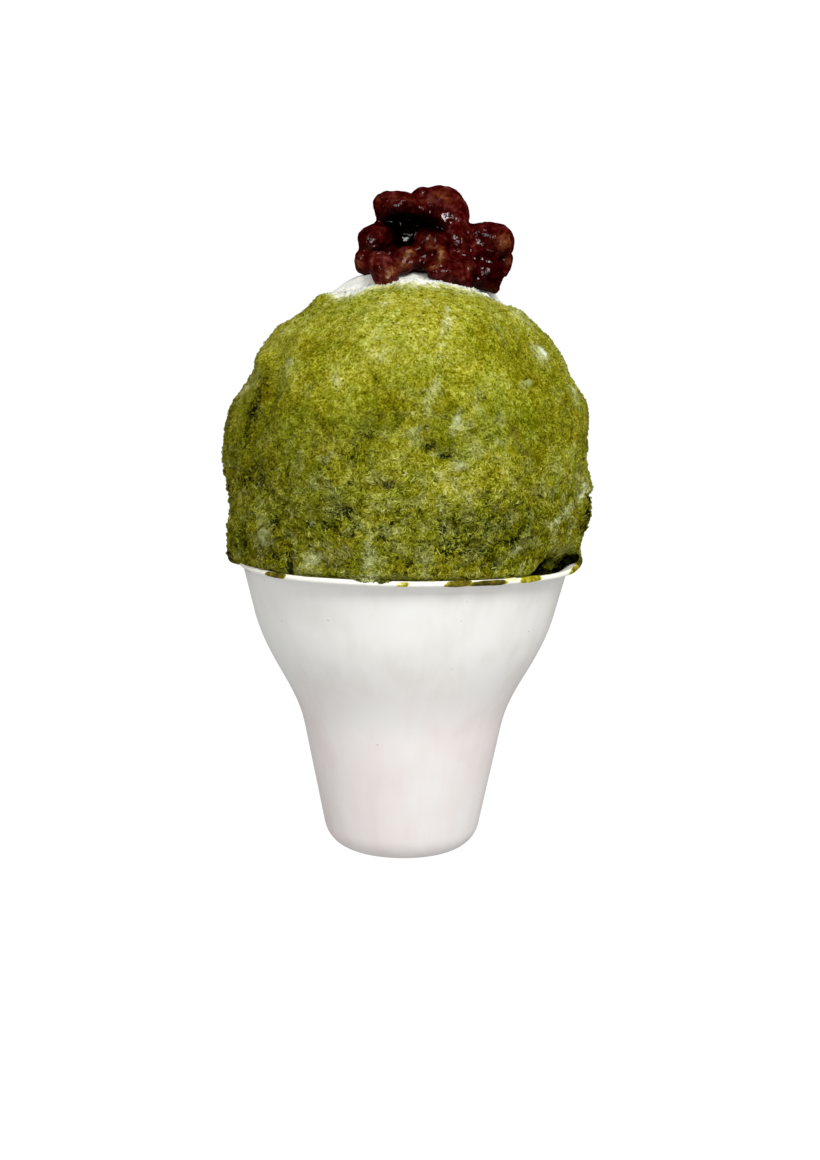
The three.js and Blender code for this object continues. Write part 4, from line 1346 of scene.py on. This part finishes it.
def make_ice(frame):
    tree = cad_tree(frame, "shaved_ice")
    mound = Mound(tree)
    elevation, direction, radius = ice_surface(tree)
    grid = ICE_EYE + direction * radius[..., None]
    flat = grid.reshape(-1, 3)
    free = smooth_step(*RELIEF_FROM, elevation - LIP_ELEVATION)[:, None]
    open_to_gap = (elevation > LIP_ELEVATION - GAP_BELOW)[:, None]
    depth = mound.relief(flat).reshape(radius.shape) * free
    depth -= GAP_DEPTH * mound.gap(flat).reshape(radius.shape) * open_to_gap
    points = (grid + direction * depth[..., None]).reshape(-1, 3)
    ends = [[0, 0, grid[0, :, 2].min()], [0, 0, grid[-1, :, 2].max() + 0.2]]
    points = np.concatenate([points, ends])
    faces = [ring_faces(len(elevation), ICE_SIDES)]
    shape, shape_faces = ball(*LUMP_ROWS)
    for number, lump in enumerate(LUMPS):
        faces.append(shape_faces + len(points))
        points = np.concatenate([points, lump_points(shape, number, *lump)])
    # Painted shade: the core is darker where it shows between the crystals.
    brighter = CORE_TONE["base"] + CORE_TONE["high"] * (1 - mound.low(points))
    shares = mound.shares(points, brighter, CORE_TONE["soaked_and_shaded"])
    core = add_mesh("ice_core", points, np.concatenate(faces), **shares)
    shader = ice_material("ice_soaked", stipple=0.8, grain=0.8)
    finish_piece(core, shader, "shaved_ice", "shaved_ice")
    scatter_ice(core, mound)
    make_chips(core)


def lump_points(shape, seed, azimuth, radius, z, along, out, up):
    """A small uneven lump on the lip, which follows it round."""
    local = shape * (1 + LUMP_ROUGH["gain"] * noise(shape, LUMP_ROUGH["size"], 90 + seed)[:, None]) * 2
    turn = azimuth + np.degrees(local[:, 0] * along / radius)
    place = outward(turn) * (radius + out * local[:, 1])[:, None]
    place[:, 2] = z + up * local[:, 2]
    return place


def circle(sides):
    """Points round a circle of diameter 1 across the first axis."""
    angle = np.arange(sides) * 2 * math.pi / sides
    return np.stack([0 * angle, 0.5 * np.cos(angle), 0.5 * np.sin(angle)], axis=-1)


def bipyramid(sides):
    """A closed crystal: two tips on the long axis and a ring round the middle."""
    points = np.concatenate([[[-0.5, 0, 0], [0.5, 0, 0]], circle(sides)])
    side, after = 2 + np.arange(sides), 2 + (np.arange(sides) + 1) % sides
    back = np.stack([np.zeros(sides, int), after, side], axis=-1)
    front = np.stack([np.ones(sides, int), side, after], axis=-1)
    return points, np.concatenate([back, front])


def plate():
    """A closed thin flake with five corners."""
    points, faces = bipyramid(5)
    return np.roll(points, -1, axis=1), faces


def strand():
    """A closed thread of three sides: a tip, two rings and a tip."""
    ring = circle(3)
    points = np.concatenate([[[-0.5, 0, 0]], ring - (0.2, 0, 0), ring + (0.2, 0, 0), [[0.5, 0, 0]]])
    faces = []
    for k in range(3):
        after = (k + 1) % 3
        faces += [[0, 1 + after, 1 + k], [1 + k, 1 + after, 4 + after], [1 + k, 4 + after, 4 + k]]
        faces += [[7, 4 + k, 4 + after]]
    return points, np.array(faces)


def grain():
    """A closed grain with four corners."""
    points = np.array([[-0.5, -0.4, -0.3], [0.5, -0.4, -0.3], [0, 0.5, -0.3], [0, 0, 0.5]])
    return points, np.array([[0, 2, 1], [0, 1, 3], [1, 2, 3], [2, 0, 3]])


def sample_surface(core, mound, count, low_share):
    """Random points on the mound above the lip, more of them low down, with its normals there."""
    points, normals = points_of(core.data), normals_of(core.data)
    triangles = triangles_of(core.data)
    a, b, c = (points[triangles[:, k]] for k in range(3))
    middle = (a + b + c) / 3
    area = np.linalg.norm(np.cross(b - a, c - a), axis=1)
    past_lip = np.hypot(middle[:, 0], middle[:, 1]) > CUP["lip_radius"]
    on_show = (middle[:, 2] > CUP["lip_z"] + ABOVE_LIP) | past_lip
    weight = area * (1 + low_share * mound.low(middle)) * on_show
    weight *= 1 - BARE_HOLLOWS * mound.hollow(middle)
    chosen = rng.choice(len(triangles), count, p=weight / weight.sum())
    u, v = rng.random((2, count))
    over = u + v > 1
    u, v = np.where(over, 1 - u, u), np.where(over, 1 - v, v)
    corners = triangles[chosen]
    share = np.stack([1 - u - v, u, v], axis=-1)[..., None]
    return (points[corners] * share).sum(axis=1), unit((normals[corners] * share).sum(axis=1))


def lay_crystals(kind, shape, place, normal, flat):
    """The corners of one uneven crystal at each place, lying along the swirls of the ice."""
    count = len(place)
    small, large = np.array(kind["small"]), np.array(kind["large"])
    size = (small + (large - small) * rng.random((count, 1)) ** SIZE_POWER)[:, None]
    angle = FLOW["turn"] * noise(place, FLOW["size"], 71) + rng.normal(0, FLOW["jitter"], count)
    level = unit(np.cross(normal, np.array([1e-6, 1e-6, 1.0])))
    lying = level * np.cos(angle)[:, None] + np.cross(level, normal) * np.sin(angle)[:, None]
    lift = kind["lift"] * rng.random(count)[:, None]
    along = unit(lying + normal * lift)
    across = unit(np.cross(normal, along))
    over = np.cross(along, across)
    spin = rng.normal(0, FLAKE_SPIN, count) if flat else rng.uniform(0, 2 * math.pi, count)
    spin = spin[:, None]
    side = across * np.cos(spin) + over * np.sin(spin)
    top = over * np.cos(spin) - across * np.sin(spin)
    local = shape * rng.uniform(*CRYSTAL_UNEVEN, (count, len(shape), 3)) * size
    bow = rng.normal(0, CRYSTAL_BOW, count)[:, None] * size[..., 0] * (1 - 4 * shape[:, 0] ** 2)
    raised = CRYSTAL_RAISED["thickness"] * size[:, 0, 2:] + CRYSTAL_RAISED["lift"] * lift * size[:, 0, :1]
    middle = place + normal * raised
    return (
        middle[:, None]
        + along[:, None] * local[..., :1]
        + side[:, None] * (local[..., 1:2] + bow[..., None])
        + top[:, None] * local[..., 2:]
    )


def scatter_ice(core, mound):
    templates = {
        "ice_grains": grain(),
        "ice_needles": bipyramid(3),
        "ice_threads": strand(),
        "ice_flakes": plate(),
    }
    shader = ice_material("ice_crystal", stipple=0.25, grain=1.1)
    for name, kind in SCATTER.items():
        shape, faces = templates[name]
        count, corners = kind["count"], len(shape)
        place, normal = sample_surface(core, mound, count, kind["low"])
        points = lay_crystals(kind, shape, place, normal, name == "ice_flakes").reshape(-1, 3)
        low = mound.low(place)
        vary = kind["vary"] * rng.normal(0, 1, count) * (1 - CALM_TOP * (1 - low))
        shares = mound.shares(place, kind["tone"] + vary, CRYSTAL_SOAK_AND_SHADE)
        if name == "ice_grains":
            powder = (rng.random(count) < POWDER["share"]) * (1 - low) * (1 - mound.verge(place))
            shares["tone"] = shares["tone"] * (1 - powder) + POWDER["tone"] * powder
            shares["frost"] = shares["frost"] * (1 - powder)
        shares = {title: np.repeat(values, corners) for title, values in shares.items()}
        index = np.arange(count)[:, None, None] * corners
        piece = add_mesh(name, points, (faces[None] + index).reshape(-1, 3), **shares)
        share = SOFTNESS["high"] + (SOFTNESS["low"] - SOFTNESS["high"]) * low
        soften(piece.data, np.repeat(normal, corners, axis=0), np.repeat(share, corners)[:, None])
        finish_piece(piece, shader, "shaved_ice")


def soften(mesh, below, share):
    """Leans the normals of small crystals towards those of the surface they lie on."""
    mixed = unit(normals_of(mesh) * (1 - share) + below * share)
    mesh.normals_split_custom_set_from_vertices(mixed.tolist())


def chip_template():
    """A round sheet of points, and the triangles of a slab from two of them."""
    rings, sides = CHIP["rings"], CHIP["sides"]
    ring = np.linspace(1, CHIP["inner"], rings)[:, None]
    turn = np.radians(np.arange(sides) * 360 / sides)
    disc = np.stack([ring * np.cos(turn), ring * np.sin(turn), 0 * ring * turn], axis=-1).reshape(-1, 3)
    disc = np.concatenate([disc, [[0, 0, 0]]])
    count = len(disc)
    side, after = np.arange(sides), (np.arange(sides) + 1) % sides
    inner = (rings - 1) * sides
    tip = np.stack([inner + side, inner + after, np.full(sides, count - 1)], -1)
    sheet = np.concatenate([ring_faces(rings, sides, closed_ends=False), tip])
    return disc, np.concatenate([sheet, sheet[:, ::-1] + count, band(side, after, count)])


def make_chips(core):
    """Thin domed chips of clear ice, half sunk in the surface."""
    tree = tree_of(points_of(core.data), triangles_of(core.data))
    right, up, _ = camera_axes()
    disc, body = chip_template()
    count = len(disc)
    points, faces, bright = [], [], []
    for x, y, half_width, half_height, lean, shine in CHIPS:
        eye, sight = sight_line(x, y)
        hit, normal, _, distance = tree.ray_cast(Vector(eye), Vector(sight))
        angle = math.radians(lean)
        normal = unit(np.array(normal) - sight)
        wide = right * math.cos(angle) - up * math.sin(angle)
        across = unit(np.cross(np.cross(normal, wide), normal))
        along = np.cross(normal, across)
        rim = 1 + sum(gain * noise(disc * fine + x, 1, seed) for fine, gain, seed in CHIP_RIM)
        size = np.array([half_width, half_height, 0]) * distance / PHOTO["focal"]
        flat = disc * rim[:, None] * size
        out = np.linalg.norm(disc, axis=1)
        dome = CHIP["dome"] * (1 - out**2) + CHIP["rough"] * noise(flat + x, CHIP["size"], 17)
        top = np.array(hit) + flat[:, :1] * across + flat[:, 1:2] * along + normal * dome[:, None]
        faces.append(body + len(points) * count)
        points += [top, top - normal * CHIP["thickness"]]
        bright.append(np.full(2 * count, shine))
    bright = np.concatenate(bright)
    chips = add_mesh("ice_chips", np.concatenate(points), np.concatenate(faces), bright=bright)
    finish_piece(chips, chip_material(), "shaved_ice")


# ---- Cream ----


def clear_of_beans(beans, points, normals):
    """Sinks the cream where a bean sits in it, so that it stays inside the bean's skin."""
    found = [beans.find_nearest(Vector(p)) for p in points.tolist()]
    touch = np.array([place for place, *_ in found])
    out = np.array([normal for _, normal, *_ in found])
    ahead = ((points - touch) * out).sum(axis=1)
    near = np.linalg.norm(points - touch, axis=1) < CREAM_CLEAR["near"]
    sink = np.clip(CREAM_CLEAR["gap"] - ahead, 0, CREAM_CLEAR["most"]) * near
    return points - normals * CREAM_CLEAR["share"] * sink[:, None]


def make_cream(frame, beans):
    cream = remeshed("cream_cap", frame["nodes"]["cream"], CREAM_VOXEL)
    relax(cream.data, CREAM_ROUNDS)
    points, normals = points_of(cream.data), normals_of(cream.data)
    points += normals * layered(points, CREAM_WAVES, 81)[:, None]
    for _ in range(2):
        points = clear_of_beans(beans, points, normals)
    ice = cad_tree(frame, "shaved_ice")
    gap = np.array([ice.find_nearest(Vector(p))[3] for p in points.tolist()])
    points[:, 2] -= CREAM_SINK["depth"] * smooth_step(*CREAM_SINK["near"], gap)
    x, y, z = points.T
    z += sum(rise * smooth_step(*reach, x) for rise, reach in CREAM_SIDES)
    middle = smooth_step(*CREAM_FRONT["reach"], np.abs(x - CREAM_FRONT["x"]))
    z += CREAM_FRONT["rise"] * middle * smooth_step(*CREAM_FRONT["y"], y)
    move_points(cream.data, points)
    tint = CREAM_TINT["share"] * smooth_step(*CREAM_TINT["near"], gap)
    tint *= 1 + noise(points, CREAM_TINT["size"], 84)
    add_share(cream.data, "tint", np.clip(tint, 0, 1))
    finish_piece(cream, cream_material(), "cream", "cream")


# ---- Beans ----


def repeatable(seed):
    """The CAD source's own sequence of numbers from 0 to 1."""
    state = seed
    while True:
        state = state * 16807 % 2147483647
        yield state / 2147483647


def bean_placements():
    """Every bean's middle, size, and the directions of its length, width and thickness, and bend."""
    numbers = repeatable(BEAN_COUNT_SEED)
    turns = [BEAN_TURN * (next(numbers) - 0.5) for _ in range(BEANS_BEFORE_RINGS)]
    placed = []
    for number, (at, size, tilt, bend, _) in enumerate(FRONT_BEANS):
        placed.append((np.array(at), np.array(size), tilt, turns[number % BEANS_BEFORE_RINGS], bend))
    for z, radius_x, radius_y, count in BEAN_RINGS:
        for i in range(count):
            angle = math.radians(RING_FROM + (180 - 2 * RING_FROM) * i / (count - 1))
            plump = BEAN_PLUMP[0] + (BEAN_PLUMP[1] - BEAN_PLUMP[0]) * next(numbers)
            tilt, turn = 180 * next(numbers), 180 * next(numbers)
            x = HEAP_MIDDLE[0] + radius_x * math.cos(angle)
            y = HEAP_MIDDLE[1] + radius_y * math.sin(angle)
            at = np.array([x, y, z + BEAN_SHIFT * (next(numbers) - 0.5)])
            placed.append((at, BEAN_SIZE * plump, tilt, turn, BEAN_BEND))
    return [(at, size, bean_axes(tilt, turn), bend) for at, size, tilt, turn, bend in placed]


def bean_axes(tilt, turn):
    """The directions of a bean's length, width and thickness."""
    t, w = math.radians(tilt), math.radians(turn)
    spin = np.array([[math.cos(w), -math.sin(w), 0], [math.sin(w), math.cos(w), 0], [0, 0, 1]])
    level = np.array([[math.cos(t), 0, math.sin(t)], [-math.sin(t), 0, math.cos(t)], [0, -1, 0]])
    return level @ spin.T


def ball(rows, sides):
    """Points on a ball of diameter 1, with its poles on the second axis, and its triangles."""
    polar = np.radians(np.linspace(0, 180, rows + 2)[1:-1])[:, None]
    turn = np.radians(np.arange(sides) * 360 / sides)
    x, y, z = np.sin(polar) * np.cos(turn), -np.cos(polar) + 0 * turn, -np.sin(polar) * np.sin(turn)
    grid = np.stack([x, y, z], axis=-1).reshape(-1, 3)
    return np.concatenate([grid, [[0, -1, 0], [0, 1, 0]]]) * 0.5, ring_faces(rows, sides)


def bean_points(shape, at, size, axes, bend, seed):
    """A bean's surface, swollen by the depth to which syrup fills its creases."""
    plump = 1 + BEAN_PINCH * shape[:, :1] ** 2
    local = shape * np.concatenate([np.ones_like(plump), plump, plump], axis=1)
    dent = 1 + layered(local * USUAL_WIDTH, BEAN_DENTS, seed, apart=50)
    local = local * dent[:, None] * (size + 2 * CLOSING)
    local[:, 1] += bend * (1 - 8 * shape[:, 0] ** 2)
    return at + local @ axes


def nearest_bean(points, beans):
    """Which bean each point belongs to, and how far out it is in that bean: 1 on its skin."""
    best, level = np.zeros(len(points), int), np.full(len(points), np.inf)
    for k, (at, size, axes, bend) in enumerate(beans):
        local = (points - at) @ axes.T / size
        local[:, 1] -= bend / size[1] * (1 - 8 * local[:, 0] ** 2)
        out = 2 * np.linalg.norm(local, axis=1)
        best = np.where(out < level, k, best)
        level = np.minimum(out, level)
    return best, level


def press_wet_spots(tree, points):
    """Flattens small spots of the skins towards the direction that mirrors the lamp to the camera."""
    lamp = np.array(GLINT["place"])
    for *place, wetness in WET_SPOTS:
        eye, sight = sight_line(*place[:2])
        hit, normal, *_ = tree.ray_cast(Vector(eye), Vector(sight))
        if hit is None or wetness < 0:
            continue
        hit = np.array(hit)
        facing = unit(unit(lamp - hit) - sight)
        if facing @ normal < WET["facing"]:
            continue
        near = np.linalg.norm(points - hit, axis=1) < WET["reach"]
        share = Patches(tree, [(*place, 1)]).at(points[near], WET["depth_reach"])
        shift = np.clip((hit - points[near]) @ facing, -WET["depth"], WET["depth"])
        points[near] += (smooth_step(*WET["edge"], share) * shift)[:, None] * facing
    return points


def bean_heap(beans):
    """The beans and their paste as one mesh, with syrup in the creases."""
    shape, faces = ball(*BEAN_ROWS)
    parts = [bean_points(shape, *bean, 100 + k) for k, bean in enumerate(beans)]
    parts += [np.array(at) + shape * 2 * (np.array(half) + CLOSING) for at, half in PASTE]
    index = np.arange(len(parts))[:, None, None] * len(shape)
    rough = add_mesh("beans_rough", np.concatenate(parts), (faces[None] + index).reshape(-1, 3))
    heap = remeshed("sweet_beans", rough, BEAN_VOXEL)
    bpy.data.objects.remove(rough)
    relax(heap.data, 3)
    relax(heap.data, CREASE_ROUNDS, CREASE_BULGES)
    move_points(heap.data, points_of(heap.data) - normals_of(heap.data) * CLOSING)
    relax(heap.data, 1)
    return heap


def make_beans(frame):
    beans = bean_placements()
    heap = bean_heap(beans)
    points, normals = points_of(heap.data), normals_of(heap.data)
    wrinkle = WRINKLE["height"] * (ridges(points, WRINKLE["size"], 91) - 1)
    wrinkle += layered(points, SKIN_WAVES, 92)
    points += normals * wrinkle[:, None]
    corners = triangles_of(heap.data)
    tree = tree_of(points, corners)
    points = press_wet_spots(tree, points)
    move_points(heap.data, points)
    nearest, level = nearest_bean(points, beans)
    skin = rng.uniform(*BACK_SKINS, len(beans) + 1)
    skin[: len(FRONT_BEANS)] = [bean[-1] for bean in FRONT_BEANS]
    skin[-1] = PASTE_SKIN
    behind = smooth_step(*BEANS_BACK_FROM, points[:, 1])
    brown = Patches(tree, spots(BROWN_PATCHES)).ragged(points, 95)
    split = smooth_step(*BACK_BROWN["steps"], noise(points, BACK_BROWN["size"], 97))
    brown = np.maximum(brown, BACK_BROWN["share"] * behind * split)
    wet = Patches(tree, WET_SPOTS).at(points, WET["depth_reach"])
    shiny = smooth_step(*BACK_WET["steps"], noise(points, BACK_WET["size"], 98))
    wet += BACK_WET["share"] * behind * shiny
    shade = Patches(tree, spots(CAVITY)).at(points)
    add_share(heap.data, "skin", skin[np.where(level > PASTE_FROM, len(beans), nearest)])
    add_share(heap.data, "starch", np.clip(brown, 0, 1))
    add_share(heap.data, "wet", np.clip(wet, WET["dullest"], 1))
    add_share(heap.data, "shade", np.clip(shade, 0, DEEPEST))
    finish_piece(heap, bean_material(), "red_beans", "red_beans")
    return tree_of(points, corners)


# ---- The scene ----

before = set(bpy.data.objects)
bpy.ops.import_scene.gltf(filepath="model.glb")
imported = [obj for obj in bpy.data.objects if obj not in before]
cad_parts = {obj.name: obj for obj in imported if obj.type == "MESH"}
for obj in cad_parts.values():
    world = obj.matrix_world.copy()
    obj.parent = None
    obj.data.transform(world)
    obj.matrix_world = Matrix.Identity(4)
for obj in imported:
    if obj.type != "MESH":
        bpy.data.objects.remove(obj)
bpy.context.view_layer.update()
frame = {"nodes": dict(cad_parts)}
scene = bpy.context.scene
scene.view_settings.view_transform = "Standard"

add_camera()
add_world()
add_light("key", mirrored=False, **KEY)
add_light("glint", mirrored=True, **GLINT)

make_cup()
make_stains()
make_ice(frame)
make_cream(frame, make_beans(frame))
